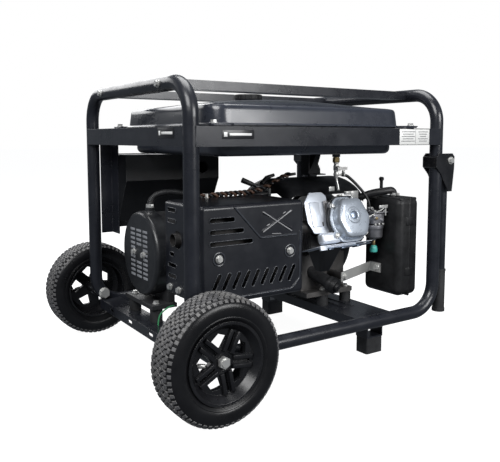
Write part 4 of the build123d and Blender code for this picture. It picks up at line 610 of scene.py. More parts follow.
def tank_point(u, v):
    """Where a point of the flat square grid lies on the pressed shell."""
    share = max(abs(u), abs(v), 1e-9)
    inset, z = tank_edge(share)
    x, y = rounded(u / share, v / share, 280.0 - inset, 230.0 - inset, max(46.0 - inset, 24.0))
    edge = TANK_EDGE[-1][0]
    if share < edge:
        x *= share / edge
        y *= share / edge
        z += 19.0 * (1 - (x / 260.0) ** 2) * (1 - abs(y / 210.0) ** 3)
        z += 3.0 * (1 - share / edge) ** 0.5
    return at(x, y, z)


def build_tank():
    """The pressed upper shell: a soft crown that falls towards both ends, over a straight skirt."""
    bm = bmesh.new()
    bmesh.ops.create_grid(bm, x_segments=96, y_segments=96, size=1)
    for vert in bm.verts:
        vert.co = tank_point(vert.co.x, vert.co.y)
    outer = [e for e in bm.edges if e.is_boundary]
    skirt = bmesh.ops.extrude_edge_only(bm, edges=outer)
    down = [g for g in skirt["geom"] if isinstance(g, bmesh.types.BMVert)]
    bmesh.ops.scale(bm, verts=down, vec=(0.985, 0.982, 1), space=Matrix.Translation(-at(0, 0, 0)))
    bmesh.ops.recalc_face_normals(bm, faces=bm.faces)
    for sx in (-1, 1):
        for sy in (-1, 1):
            add_block(bm, at(sx * 271, sy * 233, 569.8), (54, 54, 2.4), 1.0)
    ring = [
        (24.5, 626.0), (27.0, 626.0), (29.5, 627.5), (27.2, 630.5), (27.0, 644.0), (26.4, 645.5),
        (24.5, 645.5),
    ]
    add_spun(bm, at(-40, 0, 0), (0, 0, 1), ring, 64)
    piece("tank_top", bm, "Tank paint", "frame", 32, ["tank_upper_shell"])


# ---------------------------------------------------------------- hoses and leads
TAP = (126.0, -150.0, 448.0)
CARB = (222.0, -190.0, 335.0)
AIR_BOX_TOP = 390.0
HOSE_POINTS = [
    (TAP[0] + 18, TAP[1], TAP[2]), (TAP[0] + 33, TAP[1], TAP[2]), (TAP[0] + 50, TAP[1] - 4, TAP[2] - 13),
    (TAP[0] + 67, TAP[1] - 10, TAP[2] - 30), (TAP[0] + 82, TAP[1] - 20, TAP[2] - 51),
    (CARB[0] - 8, CARB[1] + 10, CARB[2] + 42), (CARB[0] - 8, CARB[1] + 10, CARB[2] + 24),
]
BREATHER_POINTS = [
    (204.0, CARB[1] + 55, CARB[2] + 45), (CARB[0], CARB[1] + 25, CARB[2] + 63),
    (266.0, CARB[1] + 2, CARB[2] + 70), (288.0, CARB[1] - 3, CARB[2] + 71), (288.0, CARB[1] - 3, AIR_BOX_TOP),
]
HARNESS_POINTS = [
    (-290.0, 55.0, 372.0), (-290.0, 55.0, 393.0), (-268.0, 33.0, 411.0), (-238.0, 3.0, 412.0),
    (-206.0, -27.0, 401.0), (-160.0, -40.0, 392.0), (-108.0, -42.0, 391.0), (-58.0, -39.0, 394.0),
    (-6.0, -37.0, 400.0),
]
EARTH_POINTS = [
    (-316.0, -40.0, 108.0), (-316.5, -42.0, 130.0), (-303.0, -50.0, 146.0), (-284.0, -48.0, 152.0),
    (-271.0, -38.0, 145.0), (-271.0, -25.0, 145.0),
]


def build_cord(name, route, radius, material, node):
    """A smooth round lead along its route."""
    points = [at(*p) for p in route]
    curve = bpy.data.curves.new(name, "CURVE")
    curve.dimensions = "3D"
    curve.bevel_depth = mm(radius)
    curve.bevel_resolution = 5
    curve.resolution_u = 12
    curve.use_fill_caps = True
    spline = curve.splines.new("NURBS")
    spline.points.add(len(points) - 1)
    for target, point in zip(spline.points, points):
        target.co = (*point, 1)
    spline.order_u = 3
    spline.use_endpoint_u = True
    curve.materials.append(bpy.data.materials[material])
    obj = bpy.data.objects.new(name, curve)
    bpy.context.scene.collection.objects.link(obj)
    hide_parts(node)
    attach(obj, "frame")
    route_length(points)


def build_loom():
    """The corrugated sleeve from the alternator's gland to the engine."""
    points = [at(*p) for p in HARNESS_POINTS]
    path = even_path(spline_points(points, 20), 1.0)
    bm = bmesh.new()
    add_tube(bm, path, lambda run: 8.0 if run % 4.0 < 2.0 else 6.9, segments=20)
    obj = piece("loom_sleeve", bm, "Hose rubber", "frame", 60, ["wiring_harness"])
    route_length(points)


def build_cords():
    build_cord("fuel_line", HOSE_POINTS, 3.8, "Hose rubber", "fuel_hose")
    build_cord("breather_line", BREATHER_POINTS, 9.5, "Hose rubber", "breather_hose")
    build_cord("earth_wire", EARTH_POINTS, 1.8, "Earth green", "earth_lead")
    build_loom()


def add_clamp(bm, centre, direction, radius, width=6.0):
    """A thin band with a screw housing on one side."""
    place = Matrix.Translation(centre) @ along(direction)
    half, outer = width / 2, radius + 1.0
    profile = [(radius, -half), (outer, -half), (outer, half), (radius, half)]
    add_spun(bm, centre, direction, profile, 40)
    verts = add_block(bm, Vector((0, 0, 0)), (7, 9, width + 1), 0.8)
    bmesh.ops.transform(bm, matrix=place @ Matrix.Translation((0, mm(radius + 3), 0)), verts=verts)


def build_clamps():
    bm = bmesh.new()
    add_clamp(bm, at(-290, 55, 377), (0, 0, 1), 8.2, 8)
    add_clamp(bm, at(TAP[0] + 25, TAP[1], TAP[2]), (1, 0, 0), 4.0, 4)
    add_clamp(bm, at(CARB[0] - 8, CARB[1] + 10, CARB[2] + 28), (0, 0, 1), 4.0, 4)
    add_clamp(bm, at(288, -193, 396), (0, 0, 1), 9.7, 6)
    piece("hose_clamps", bm, "Zinc", "frame", 35)


# ---------------------------------------------------------------- control panel
PANEL_FACE = 288.0


def panel_bar(bm, x, z, width, height=2.4, out=0.5):
    """A flat printed bar on the control panel."""
    add_block(bm, at(x, PANEL_FACE + out / 2, z), (width, out, height), 0.1)


def build_panel_trim():
    """The control panel's dial, bezels, screws, reset buttons, earth post and blank label bars."""
    left, low = -300.0, 305.0
    face, dial = PANEL_FACE, PANEL_FACE + 3
    upright = [(left + 42, low + 74), (left + 102, low + 74)]
    lock, meter = (left + 172, low + 74), (left + 172, low + 146)
    switches = [(-66, low + 74), (-66, low + 146)]
    bm = bmesh.new()
    for x, z in upright:
        panel_bar(bm, x, z + 50, 40, 3.2)
        panel_bar(bm, x, z + 57, 26, 2.0)
        panel_bar(bm, x, z - 50.5, 30)
        for dx in (-27, 27):
            panel_bar(bm, x + dx, z, 0.9, 96, 0.4)
    for x, z in (lock, (meter[0], meter[1] - 64)):
        panel_bar(bm, x, z - 34, 44, 2.6)
    for x, z in switches:
        panel_bar(bm, x, z + 24, 22)
        panel_bar(bm, x, z - 23, 14)
    panel_bar(bm, left + 72, low + 172, 96, 7.0)
    panel_bar(bm, left + 72, low + 12, 110, 2.0)
    panel_bar(bm, left + 138, low + 92, 0.9, 170, 0.4)
    piece("panel_marks", bm, "Label white", "frame", 35)
    bm = bmesh.new()
    for x in (left + 7, -31.0):
        for z in (low + 7, low + 96, low + 185):
            add_rod(bm, at(x, face, z), at(x, face + 2.4, z), 4.0, 3.2, 24, 0.5)
    for x, z in upright:
        add_rod(bm, at(x, face + 2, z), at(x, face + 3.2, z), 2.8, 2.4, 20, 0.3)
    bezel = [(18.6, 0), (22.0, 0), (22.0, 1.2), (20.6, 2.2), (18.6, 1.4)]
    add_spun(bm, at(meter[0], dial, meter[1]), (0, 1, 0), bezel, 64)
    x, z = left + 138, low + 22
    add_rod(bm, at(x, face, z), at(x, face + 8, z), 3.0, segments=24, bevel=0.4)
    add_rod(bm, at(x, dial, z), at(x, dial + 3.4, z), 6.0, segments=6, bevel=0.5)
    piece("panel_screws", bm, "Zinc", "frame", 30)
    bm = bmesh.new()
    add_rod(bm, at(meter[0], dial, meter[1]), at(meter[0], dial + 0.5, meter[1]), 18.8, segments=64)
    piece("dial_face", bm, "Dial white", "frame", 30)
    bm = bmesh.new()
    for index in range(13):
        turn = math.radians(150 - index * 10)
        ray = Vector((-math.cos(turn), 0, math.sin(turn)))
        root = at(meter[0], dial + 0.6, meter[1] - 5)
        add_rod(bm, root + ray * mm(15), root + ray * mm(18 if index % 3 else 19.5), 0.35, segments=6)
    root = at(meter[0], dial + 0.9, meter[1] - 6)
    add_rod(bm, root, root + Vector((mm(-7), 0, mm(16))), 0.5, segments=8)
    add_rod(bm, root, root + Vector((0, mm(0.8), 0)), 3.2, segments=24, bevel=0.2)
    for x, z in upright:
        for dx in (-12, 12):
            add_rod(bm, at(x + dx, face, z - 60), at(x + dx, face + 5, z - 60), 5.0, segments=28, bevel=0.8)
    piece("dial_marks", bm, "Gloss plastic", "frame", 35)


# ---------------------------------------------------------------- wiring over the guard
BRAID_POINTS = [
    (-214, -34, 400), (-180, -46, 404), (-130, -40, 405), (-70, -46, 406), (-20, -38, 412),
    (30, -60, 445), (40, -70, 449),
]
BRAID_STEP = 3.0
BRAID_LAY = 26.0          # how far one turn of the twist runs


def build_braid():
    """Twisted leads that lie along the guard's top, with their ties."""
    centre = even_path(spline_points([at(*p) for p in BRAID_POINTS], 20), BRAID_STEP)
    for index, (name, material) in enumerate((("braid_dark", "Hose rubber"), ("braid_brown", "Wire brown"))):
        path = []
        for step, point in enumerate(centre):
            phase = step * BRAID_STEP / BRAID_LAY * math.tau + index * math.pi
            path.append(point + Vector((0, math.cos(phase), math.sin(phase))) * mm(4.0))
        bm = bmesh.new()
        add_tube(bm, path, 3.4, 10)
        piece(name, bm, material, "frame", 60)
    bm = bmesh.new()
    for x, y, z in ((-190, -42, 398), (-4, -38, 402)):
        add_block(bm, at(x, y, z), (5, 22, 22), 1.2)
    piece("cable_ties", bm, "Tie white", "frame", 35)


# ---------------------------------------------------------------- engine
COVER_OUTLINE = [(-34, -54), (34, -54), (58, -4), (32, 52), (-34, 52), (-56, -4)]


def cover_ring(bm, inset, out, corner=15.0):
    """One closed loop of the valve cover's rounded hexagon, drawn in by an inset."""
    points = []
    middle = Vector((0, -1))
    corners = [Vector(p) - (Vector(p) - middle).normalized() * inset for p in COVER_OUTLINE]
    for before, here, after in zip(corners[-1:] + corners[:-1], corners, corners[1:] + corners[:1]):
        a = here + (before - here).normalized() * corner
        b = here + (after - here).normalized() * corner
        for step in range(7):
            t = step / 6
            points.append(a * (1 - t) ** 2 + here * 2 * t * (1 - t) + b * t ** 2)
    verts = [bm.verts.new(on_cylinder(p.x, p.y, 246 + out)) for p in points]
    return [bm.edges.new((a, b)) for a, b in zip(verts, verts[1:] + verts[:1])]


def build_valve_cover():
    """The plated cover: wide flange, rolled step, soft domed face, round boss and a blank medallion."""
    bm = bmesh.new()
    rings = [
        (-4.0, 0.2), (-5.2, 1.2), (-5.2, 5.0), (-4.2, 6.2), (0.5, 6.4), (2.0, 7.0), (2.8, 10.0), (3.4, 20.0),
        (4.6, 26.5), (7.5, 30.5), (12.0, 32.4), (20.0, 33.2),
    ]
    loops = [cover_ring(bm, inset, out, 17 - min(inset, 10) * 0.4) for inset, out in rings]
    for a, b in zip(loops, loops[1:]):
        bmesh.ops.bridge_loops(bm, edges=a + b)
    bmesh.ops.edgeloop_fill(bm, edges=loops[0])
    bmesh.ops.edgeloop_fill(bm, edges=loops[-1])
    bmesh.ops.recalc_face_normals(bm, faces=bm.faces)
    out = on_cylinder(0, 0, 1) - on_cylinder(0, 0, 0)
    centre = on_cylinder(-4, 4, 246 + 33)
    boss = [(0, -1), (20.5, -1), (20.5, 0.6), (19.3, 1.7), (14.0, 2.0), (13.2, 1.2), (0, 1.2)]
    add_spun(bm, centre, out, boss, 72)
    piece("valve_cover", bm, "Chrome", "frame", 30, ["rocker_cover"])
    bm = bmesh.new()
    add_spun(bm, centre + out * 1.2, out, [(0, 0), (10.5, 0), (10.5, 0.9), (9.6, 1.4), (0, 1.5)], 48)
    piece("cover_medallion", bm, "Blued steel", "frame", 30)
    bm = bmesh.new()
    section = ((4, -9), (-8.5, -9), (-9.5, -7), (-9.5, -1), (-8.5, 0), (4, 0))
    loops = [cover_ring(bm, inset, rise, 18) for inset, rise in section]
    for a, b in zip(loops, loops[1:] + loops[:1]):
        bmesh.ops.bridge_loops(bm, edges=a + b)
    bmesh.ops.recalc_face_normals(bm, faces=bm.faces)
    piece("cover_gasket", bm, "Black sheet", "frame", 30)
    bm = bmesh.new()
    for x, up in ((-44, 30), (-44, -34), (44, 30), (44, -34)):
        place = on_cylinder(x * 1.06, up * 1.15, 252.4)
        add_rod(bm, place, place + out * 2, 6.6, bevel=0.4)
        add_rod(bm, place + out * 2, place + out * 7, 5.0, segments=6, bevel=0.5)
    piece("cover_screws", bm, "Zinc", "frame", 30)


def build_head_shields():
    """Plated sheets: the eight-sided one beside the port, the rolled one under the head."""
    bm = bmesh.new()
    outline = [(-112, 2), (-98, -26), (-52, -30), (-40, -14), (-40, 66), (-52, 76), (-92, 76), (-112, 52)]
    verts = [bm.verts.new(on_cylinder(x, up, 228)) for x, up in outline]
    face = bm.faces.new(verts)
    made = bmesh.ops.extrude_face_region(bm, geom=[face])
    raised = [g for g in made["geom"] if isinstance(g, bmesh.types.BMVert)]
    out = on_cylinder(0, 0, 1) - on_cylinder(0, 0, 0)
    bmesh.ops.translate(bm, verts=raised, vec=out * 3)
    bmesh.ops.recalc_face_normals(bm, faces=bm.faces)
    bmesh.ops.bevel(bm, geom=list(bm.edges), offset=mm(1.2), segments=3, profile=0.5, affect="EDGES",
                    material=-1, clamp_overlap=True)
    turn = CYLINDER_TURN
    add_block(bm, on_cylinder(-84, 20, 232), (30, 62, 3), 1.3, turn)
    add_block(bm, on_cylinder(-25, -61.5, 216), (170, 2.2, 84), 1.0, turn)
    add_block(bm, on_cylinder(-101, -66, 257), (20, 12, 6), 1.0, turn)
    piece("shield_plates", bm, "Bright sheet", "frame", 30, ["head_shields"])
    bm = bmesh.new()
    add_block(bm, on_cylinder(-52, -42, 236), (74, 28, 26), 8.0, turn, 5)
    add_block(bm, on_cylinder(-50, -64.6, 228), (106, 2.4, 62), 1.0, turn)
    piece("port_duct", bm, "Bright sheet", "frame", 35)
    # A bluish sheet under the head: painted shade standing in for the head's shaded underside.
    bm = bmesh.new()
    add_block(bm, on_cylinder(-18, -67, 236), (150, 3.0, 40), 1.2, turn)
    for x in (-70, -30, 20):
        add_block(bm, on_cylinder(x, -69.4, 240), (14, 4, 20), 1.4, turn)
    piece("head_underside_shade_plate", bm, "Blued steel", "frame", 35)


def hood_point(u, v):
    """A point on the hood: u runs along the machine, v from its back foot over the crown to the front lip."""
    x = -4 + u * 252
    angle = math.radians(-64 + v * 116)
    y = -22 - 150 * math.sin(angle) * 0.86
    z = 437 - 92 * (1 - math.cos(angle))
    side = min(u, 1 - u) * 252
    if side < 26:
        z -= 26 - math.sqrt(max(0.0, 26 ** 2 - (26 - side) ** 2))
    dip = max(0.0, v - 0.93) / 0.07
    return at(x, y, z - dip * 3)


def build_hood():
    """The blower housing and the pressed hood that leads its air over the head."""
    bm = bmesh.new()
    bmesh.ops.create_grid(bm, x_segments=48, y_segments=44, size=0.5)
    for vert in bm.verts:
        vert.co = hood_point(vert.co.x + 0.5, vert.co.y + 0.5)
    bmesh.ops.recalc_face_normals(bm, faces=bm.faces)
    if sum(f.normal.z * f.calc_area() for f in bm.faces) < 0:
        bmesh.ops.reverse_faces(bm, faces=bm.faces)
    bmesh.ops.solidify(bm, geom=list(bm.faces), thickness=mm(2.4))
    drum = [
        (70.0, 252.0), (122.0, 252.0), (128.0, 249.5), (130.0, 243.0), (130.0, 213.0), (127.0, 213.0),
        (127.0, 242.0), (121.0, 249.0), (70.0, 249.0),
    ]
    add_spun(bm, at(0, CRANK[0], CRANK[1]), (1, 0, 0), drum, 96)
    piece("blower_housing", bm, "Black sheet", "frame", 35, ["fan_shroud"])


def build_tap():
    """The fuel tap: brass union nut, plated body with its lever boss, spigot and sediment bowl stud."""
    top = 494
    bm = bmesh.new()
    add_rod(bm, at(TAP[0], TAP[1], top - 14), at(TAP[0], TAP[1], top - 2), 9.0, segments=6, bevel=0.9)
    add_rod(bm, at(TAP[0], TAP[1], top - 2), at(TAP[0], TAP[1], top), 7.4, bevel=0.3)
    piece("tap_nut", bm, "Brass", "frame", 35)
    bm = bmesh.new()
    body = [
        (0, 440), (4.5, 440), (5.2, 442), (5.2, 446), (6.6, 448), (6.6, 452), (5.2, 455), (5.2, 459),
        (6.8, 461), (6.8, 471), (5.4, 474), (5.4, 477), (7.0, 478.5), (7.0, 480.5), (0, 480.5),
    ]
    add_spun(bm, at(TAP[0], TAP[1], 0), (0, 0, 1), body, 40)
    add_rod(bm, at(TAP[0], TAP[1], 465), at(TAP[0], TAP[1] - 10, 465), 5.8, bevel=0.6)
    add_rod(bm, at(TAP[0], TAP[1] - 10, 465), at(TAP[0], TAP[1] - 15, 465), 2.4, bevel=0.4)
    add_rod(bm, at(TAP[0], TAP[1], 448), at(TAP[0] + 18, TAP[1], 448), 2.5, bevel=0.3)
    piece("tap_body", bm, "Bright alloy", "frame", 35, ["petcock_body"])


def build_carburettor():
    """The carburettor: flanged body with bosses, stepped float bowl, brass drain, soft cap and linkage."""
    x, y, z = CARB
    bm = bmesh.new()
    add_rod(bm, at(x - 19.6, -162, z), at(x + 25.6, -162, z), 18.5, bevel=1.5)
    add_block(bm, at(x + 2, y + 5, z + 1), (38, 42, 28), 4.0, segments=4)
    add_block(bm, at(x + 5, y + 10, z + 18), (44, 66, 3.6), 1.4)
    add_rod(bm, at(x - 12, y - 20, z + 4), at(x - 12, y - 8, z + 4), 5.5, bevel=0.8)
    add_rod(bm, at(x + 12, y - 19, z - 2), at(x + 12, y - 8, z - 2), 4.6, bevel=0.8)
    add_rod(bm, at(x - 8, y + 10, z + 19), at(x - 8, y + 10, z + 24), 3.6, bevel=0.3)
    bowl = [
        (0, -50), (14.0, -50), (19.0, -48.5), (21.5, -45), (22.0, -30), (22.6, -24), (23.6, -22.5),
        (23.6, -16), (22.4, -14.5), (0, -14.5),
    ]
    add_spun(bm, at(x, y, z), (0, 0, 1), bowl, 56)
    add_rod(bm, at(x, y, z - 56), at(x, y, z - 50), 6.5, segments=6, bevel=0.6)
    piece("carburettor_body", bm, "Pot metal", "frame", 32, ["carburettor"])
    bm = bmesh.new()
    add_rod(bm, at(x, y, z - 72), at(x, y, z - 56), 4.4, segments=24, bevel=0.5)
    add_rod(bm, at(x - 12, y - 23, z + 4), at(x - 12, y - 20, z + 4), 3.4, bevel=0.4)
    piece("carburettor_jets", bm, "Brass", "frame", 35)
    bm = bmesh.new()
    cap = [(0, -87), (7.0, -87), (9.6, -85), (9.8, -77), (8.6, -72), (5.2, -68), (0, -68)]
    add_spun(bm, at(x, y, z), (0, 0, 1), cap, 40)
    piece("drain_cap", bm, "Teal cap", "frame", 40)
    bm = bmesh.new()
    for dx, dy in ((-15, -18), (18, -18), (22, 28)):
        add_rod(bm, at(x + dx, y + dy, z + 19.5), at(x + dx, y + dy, z + 24), 3.2, bevel=0.6)
    for dx in (-13, 0, 13):
        add_rod(bm, at(x + dx, y - 17, z - 12), at(x + dx, y - 20.5, z - 12), 2.6, bevel=0.4)
    add_rod(bm, at(x + 16, y - 24, z + 10), at(x + 16, y - 24, z + 34), 1.6, segments=12)
    add_block(bm, at(x + 8, y - 24, z + 33), (30, 2, 8), 0.6)
    add_rod(bm, at(x - 36, y - 16, z + 8), at(x + 14, y - 23, z + 30), 1.1, segments=12)
    piece("carburettor_linkage", bm, "Zinc", "frame", 35)


def build_air_cleaner():
    """The moulded case: soft edges, a seam bead round its lid, two clips and a moulded step at the top."""
    bm = bmesh.new()
    add_block(bm, at(289, -184.5, 263.5), (74, 127, 253), 17.0, segments=7)
    add_block(bm, at(291, -184.5, 263.5), (6, 128.4, 254.4), 2.6, segments=3)
    add_block(bm, at(289, -205, 386), (60, 78, 8), 3.0)
    add_rod(bm, at(288, -193, 384), at(288, -193, 392), 12.5, bevel=1.5)
    add_block(bm, at(286, -147, 396), (13, 7, 22), 2.0)
    add_rod(bm, at(283, -153, 397), at(283, -146, 397), 2.5, segments=16, bevel=0.4)
    for z in (330, 200):
        add_block(bm, at(289, -248.6, z), (26, 3.0, 20), 1.2)
    piece("air_cleaner_shell", bm, "Box plastic", "frame", 45, ["air_cleaner_box"])


SCREEN_X = -316.0         # the inner face of the screen behind the end cover
SLOT_PITCH = 11.2
SLOT_ROWS = 11


def build_vent_screen():
    """The grey screen behind the end cover's slots, and the bars that stand in them."""
    bm = bmesh.new()
    disc = [(0, SCREEN_X - 0.8), (80, SCREEN_X - 0.8), (80, SCREEN_X), (0, SCREEN_X)]
    add_spun(bm, at(0, CRANK[0], CRANK[1]), (1, 0, 0), disc, 64)
    for offset, length in ((36, 28), (0, 31), (-36, 28)):
        for row in range(SLOT_ROWS):
            rise = (row - (SLOT_ROWS - 1) / 2) * SLOT_PITCH
            if offset or abs(rise) >= 2 * SLOT_PITCH:
                place = at(SCREEN_X - 2.9, CRANK[0] + offset, CRANK[1] + rise)
                add_block(bm, place, (2.4, length, 7.4), 1.1, segments=2)
    piece("vent_screen", bm, "Screen grey", "frame", 30)


def soft_corners(line, reach):
    """A flat line's points with each inner corner drawn round."""
    points = [line[0]]
    for before, here, after in zip(line, line[1:], line[2:]):
        corner = Vector(here)
        a = corner + (Vector(before) - corner).normalized() * reach
        b = corner + (Vector(after) - corner).normalized() * reach
        for step in range(5):
            t = step / 4
            points.append(tuple(a * (1 - t) ** 2 + corner * 2 * t * (1 - t) + b * t ** 2))
    return points + [line[-1]]


def slot_lip(bm, axis, level, across, z, length, width, lean):
    """The rolled lip round a slot in the guard's front or end face."""
    radius = width / 2 + 1.0
    half = (length - width) / 2
    path = []
    for step in range(41):
        turn = step / 40 * math.tau
        point = Vector((math.cos(turn), math.sin(turn))) * radius
        point.x += math.copysign(half, math.cos(turn))
        point.rotate(Matrix.Rotation(math.radians(lean), 2))
        u, v = across + point.x, z + point.y
        path.append(at(u, level, v) if axis == "Y" else at(level, u, v))
    add_tube(bm, path, 0.9, 8)


GUARD_FRONT = -220.0      # Y of the muffler guard's front face
GUARD_END = -300.0        # X of its end face


def build_guard_marks():
    """The pressed cross with its ribs in light grey, partly worn paint and partly a painted highlight, and
    the lips of the guard's slots in a lighter paint that is a painted highlight.
    """
    bm = bmesh.new()
    y = GUARD_FRONT - 1
    # The cross's ribs and short dashes are light grey: partly wear, partly painted glints where the pressed
    # rib catches light.
    for (x0, z0), (x1, z1) in (((-146, 380), (-67, 332)), ((-146, 335), (-69, 378))):
        add_rod(bm, at(x0, y, z0), at(x1, y, z1), 1.5, segments=12)
    for (x0, z0), (x1, z1) in (
            ((-121, 330), (-97, 328)), ((-136, 349), (-128, 352)), ((-92, 373), (-84, 376))):
        add_rod(bm, at(x0, y, z0), at(x1, y, z1), 1.0, segments=10)
    piece("guard_cross", bm, "Rib wear", "frame", 35)
    # Folds, slot lips and bolt collars take the lighter paint: a painted highlight where the pressed edges
    # catch light.
    bm = bmesh.new()
    folds = ([(-219, 394), (-152, 323), (-53, 323)], [(-276, 199), (-65, 199), (-43, 221), (-43, 328)])
    for line in folds:
        add_tube(bm, [at(x, y + 0.2, z) for x, z in soft_corners(line, 6)], 1.9, 12)
    for row in range(3):
        right = -219 + row * 23
        slot_lip(bm, "Y", y, (-280 + right) / 2, 369 - row * 25, right + 280, 9, 0)
    for index in range(9):
        slot_lip(bm, "Y", y, -264 + index * 197 / 8, 236, 39, 8.6, 62)
    for row in range(7):
        z = 381 - row * 25
        if abs(z - 317) > 30:
            slot_lip(bm, "X", GUARD_END - 0.4, -85, z, 40 if row < 2 or row > 4 else 22, 8, 0)
    collar = [(12.5, -0.6), (15.5, -0.6), (15.2, 0.7), (14.0, 1.1), (12.8, 0.7)]
    for x in (-258, -71):
        add_spun(bm, at(x, y, 286.5), (0, -1, 0), collar, 40)
    piece("guard_lips", bm, "Lip paint", "frame", 35)


def build_cable_ends():
    """Plugs, clips and loose loom ends above the guard and the valve cover."""
    bm = bmesh.new()
    for start, end, radius in (
            ((-72, -20, 436), (-46, -30, 424), 7.0), ((-50, -28, 426), (-34, -34, 420), 5.0),
            ((-18, -30, 425), (4, -22, 440), 6.5), ((4, -22, 440), (24, -26, 446), 5.0),
            ((34, -60, 446), (60, -70, 450), 4.2), ((-40, -34, 418), (-14, -36, 420), 4.6)):
        add_rod(bm, at(*start), at(*end), radius, radius * 0.86, 20, 1.0)
    piece("loom_ends", bm, "Hose rubber", "frame", 40)
    bm = bmesh.new()
    add_block(bm, at(150, -172, 404), (26, 10, 9), 1.6)
    add_block(bm, at(166, -176, 396), (24, 3, 26), 1.2)
    add_rod(bm, at(128, -158, 410), at(126, -151, 440), 3.4, bevel=0.4)
    add_block(bm, at(112, -150, 414), (18, 3, 12), 1.0)
    piece("head_clips", bm, "Zinc", "frame", 35)


# ---------------------------------------------------------------- labels and trim
RAIL_FACE = -290.0        # Y of the front tank rail's outer face
END_RAIL_FACE = -367.0    # X of the end rail's outer face


def build_labels():
    """Plain labels: bars stand where words would be."""
    bm = bmesh.new()
    add_block(bm, at(-253.5, RAIL_FACE - 0.3, 548), (75, 0.6, 18), 0.2)
    add_block(bm, at(END_RAIL_FACE - 0.3, -198, 551), (0.6, 74, 21), 0.2)
    piece("label_backs", bm, "Label black", "frame", 35)
    bm = bmesh.new()
    add_block(bm, at(-248, RAIL_FACE - 0.7, 548), (52, 0.4, 5), 0.1)
    add_block(bm, at(-283, RAIL_FACE - 0.7, 548), (8, 0.4, 9), 0.1)
    add_block(bm, at(END_RAIL_FACE - 0.7, -204, 551), (0.4, 50, 5.5), 0.1)
    add_block(bm, at(END_RAIL_FACE - 0.7, -170, 551), (0.4, 8, 9.5), 0.1)
    add_block(bm, at(253, RAIL_FACE - 0.3, 543.5), (104, 0.6, 37), 0.2)
    piece("label_whites", bm, "Label white", "frame", 35)
    bm = bmesh.new()
    for row in range(5):
        z = 556 - row * 5.6
        add_block(bm, at(230, RAIL_FACE - 0.7, z), (46 - (row % 2) * 9, 0.4, 1.6), 0.1)
        add_block(bm, at(282, RAIL_FACE - 0.7, z), (34 - (row % 3) * 6, 0.4, 1.6), 0.1)
    add_block(bm, at(255.5, RAIL_FACE - 0.7, 543.5), (0.8, 0.4, 32), 0.1)
    piece("label_rules", bm, "Label grey", "frame", 35)


# ---------------------------------------------------------------- add-on
class GeneratorLook(bpy.types.PropertyGroup):
    """Sizes and colours that change the look."""
    frame_colour: bpy.props.FloatVectorProperty(
        name="Frame paint", description="Colour of the tube frame and rails", subtype="COLOR", size=3,
        min=0, max=1, default=(0.0100, 0.0112, 0.0160))
    tank_colour: bpy.props.FloatVectorProperty(
        name="Tank paint", description="Colour of the fuel tank", subtype="COLOR", size=3, min=0, max=1,
        default=(0.0230, 0.0265, 0.0370))
    tread_pitches: bpy.props.IntProperty(
        name="Tread pitches", description="How many times the tread pattern repeats round a tyre",
        default=60, min=20, max=80)


class GeneratorStage(bpy.types.PropertyGroup):
    """The camera and the light around the object."""
    lens: bpy.props.FloatProperty(
        name="Lens", description="Focal length of the camera in millimetres", default=44.61, min=10, max=200)
    soft_light: bpy.props.FloatProperty(
        name="Soft light", description="Strength of the light from all sides", default=0.16, min=0, max=10)
    key_light: bpy.props.FloatProperty(
        name="Key light", description="Power of the large lamp at the left", default=70.0, min=0, max=1000,
        unit="POWER")


class GENERATOR_OT_stage(bpy.types.Operator):
    """Camera, floor and soft studio light"""
    bl_idname = "generator.stage"
    bl_label = "Stage"

    def execute(self, context):
        set_up_stage(context.scene.generator_stage)
        return {"FINISHED"}


class GENERATOR_OT_finishes(bpy.types.Operator):
    """Materials, and the finish of every carried-over piece"""
    bl_idname = "generator.finishes"
    bl_label = "Finishes"

    def execute(self, context):
        make_finishes(context.scene.generator_look)
        dress_nodes()
        return {"FINISHED"}


class GENERATOR_OT_cords(bpy.types.Operator):
    """Hoses, loom and earth lead with their clamps"""
    bl_idname = "generator.cords"
    bl_label = "Cords"

    def execute(self, context):
        build_cords()
        build_clamps()
        build_braid()
        return {"FINISHED"}


class GENERATOR_OT_wheels(bpy.types.Operator):
    """Both tyres with their tread and air valves"""
    bl_idname = "generator.wheels"
    bl_label = "Wheels"

    def execute(self, context):
        for name, side in SIDES.items():
            build_tyre(context.scene.generator_look, name, side)
            build_rim_trim(name, side)
            build_valve(name, side)
        return {"FINISHED"}


class GENERATOR_OT_tank(bpy.types.Operator):
    """The tank's pressed upper shell"""
    bl_idname = "generator.tank"
    bl_label = "Fuel tank"

    def execute(self, context):
        build_tank()
        return {"FINISHED"}


class GENERATOR_OT_engine(bpy.types.Operator):
    """Valve cover, shields, hood, tap, carburettor and air cleaner"""
    bl_idname = "generator.engine"
    bl_label = "Engine"

    def execute(self, context):
        build_valve_cover()
        build_head_shields()
        build_hood()
        build_tap()
        build_carburettor()
        build_air_cleaner()
        build_cable_ends()
        return {"FINISHED"}


class GENERATOR_OT_guard(bpy.types.Operator):
    """Ribs of the muffler guard, the alternator's screen and the control panel's trim"""
    bl_idname = "generator.guard"
    bl_label = "Guard and screen"

    def execute(self, context):
        build_guard_marks()
        build_vent_screen()
        build_panel_trim()
        return {"FINISHED"}


class GENERATOR_OT_labels(bpy.types.Operator):
    """Plain labels on the rails"""
    bl_idname = "generator.labels"
    bl_label = "Labels"

    def execute(self, context):
        build_labels()
        return {"FINISHED"}


class GENERATOR_PT_panel(bpy.types.Panel):
    """Lists the building steps"""
    bl_idname = "GENERATOR_PT_panel"
    bl_label = "Generator"
    bl_space_type = "VIEW_3D"
    bl_region_type = "UI"
    bl_category = "Generator"

    def draw(self, context):
        for group in (context.scene.generator_look, context.scene.generator_stage):
            for name in group.__annotations__:
                self.layout.prop(group, name)
        for step in STEPS:
            self.layout.operator(step.bl_idname)


# ---------------------------------------------------------------- stage
CAMERA_PLACE = (-913.4, -1328.7, 541.2)
CAMERA_DROP = 5.46        # degrees that the camera looks down
CAMERA_TURN = -33.5       # degrees about the upright axis
CAMERA_SHIFT = -0.0677
FLOOR_REACH = 30          # metres


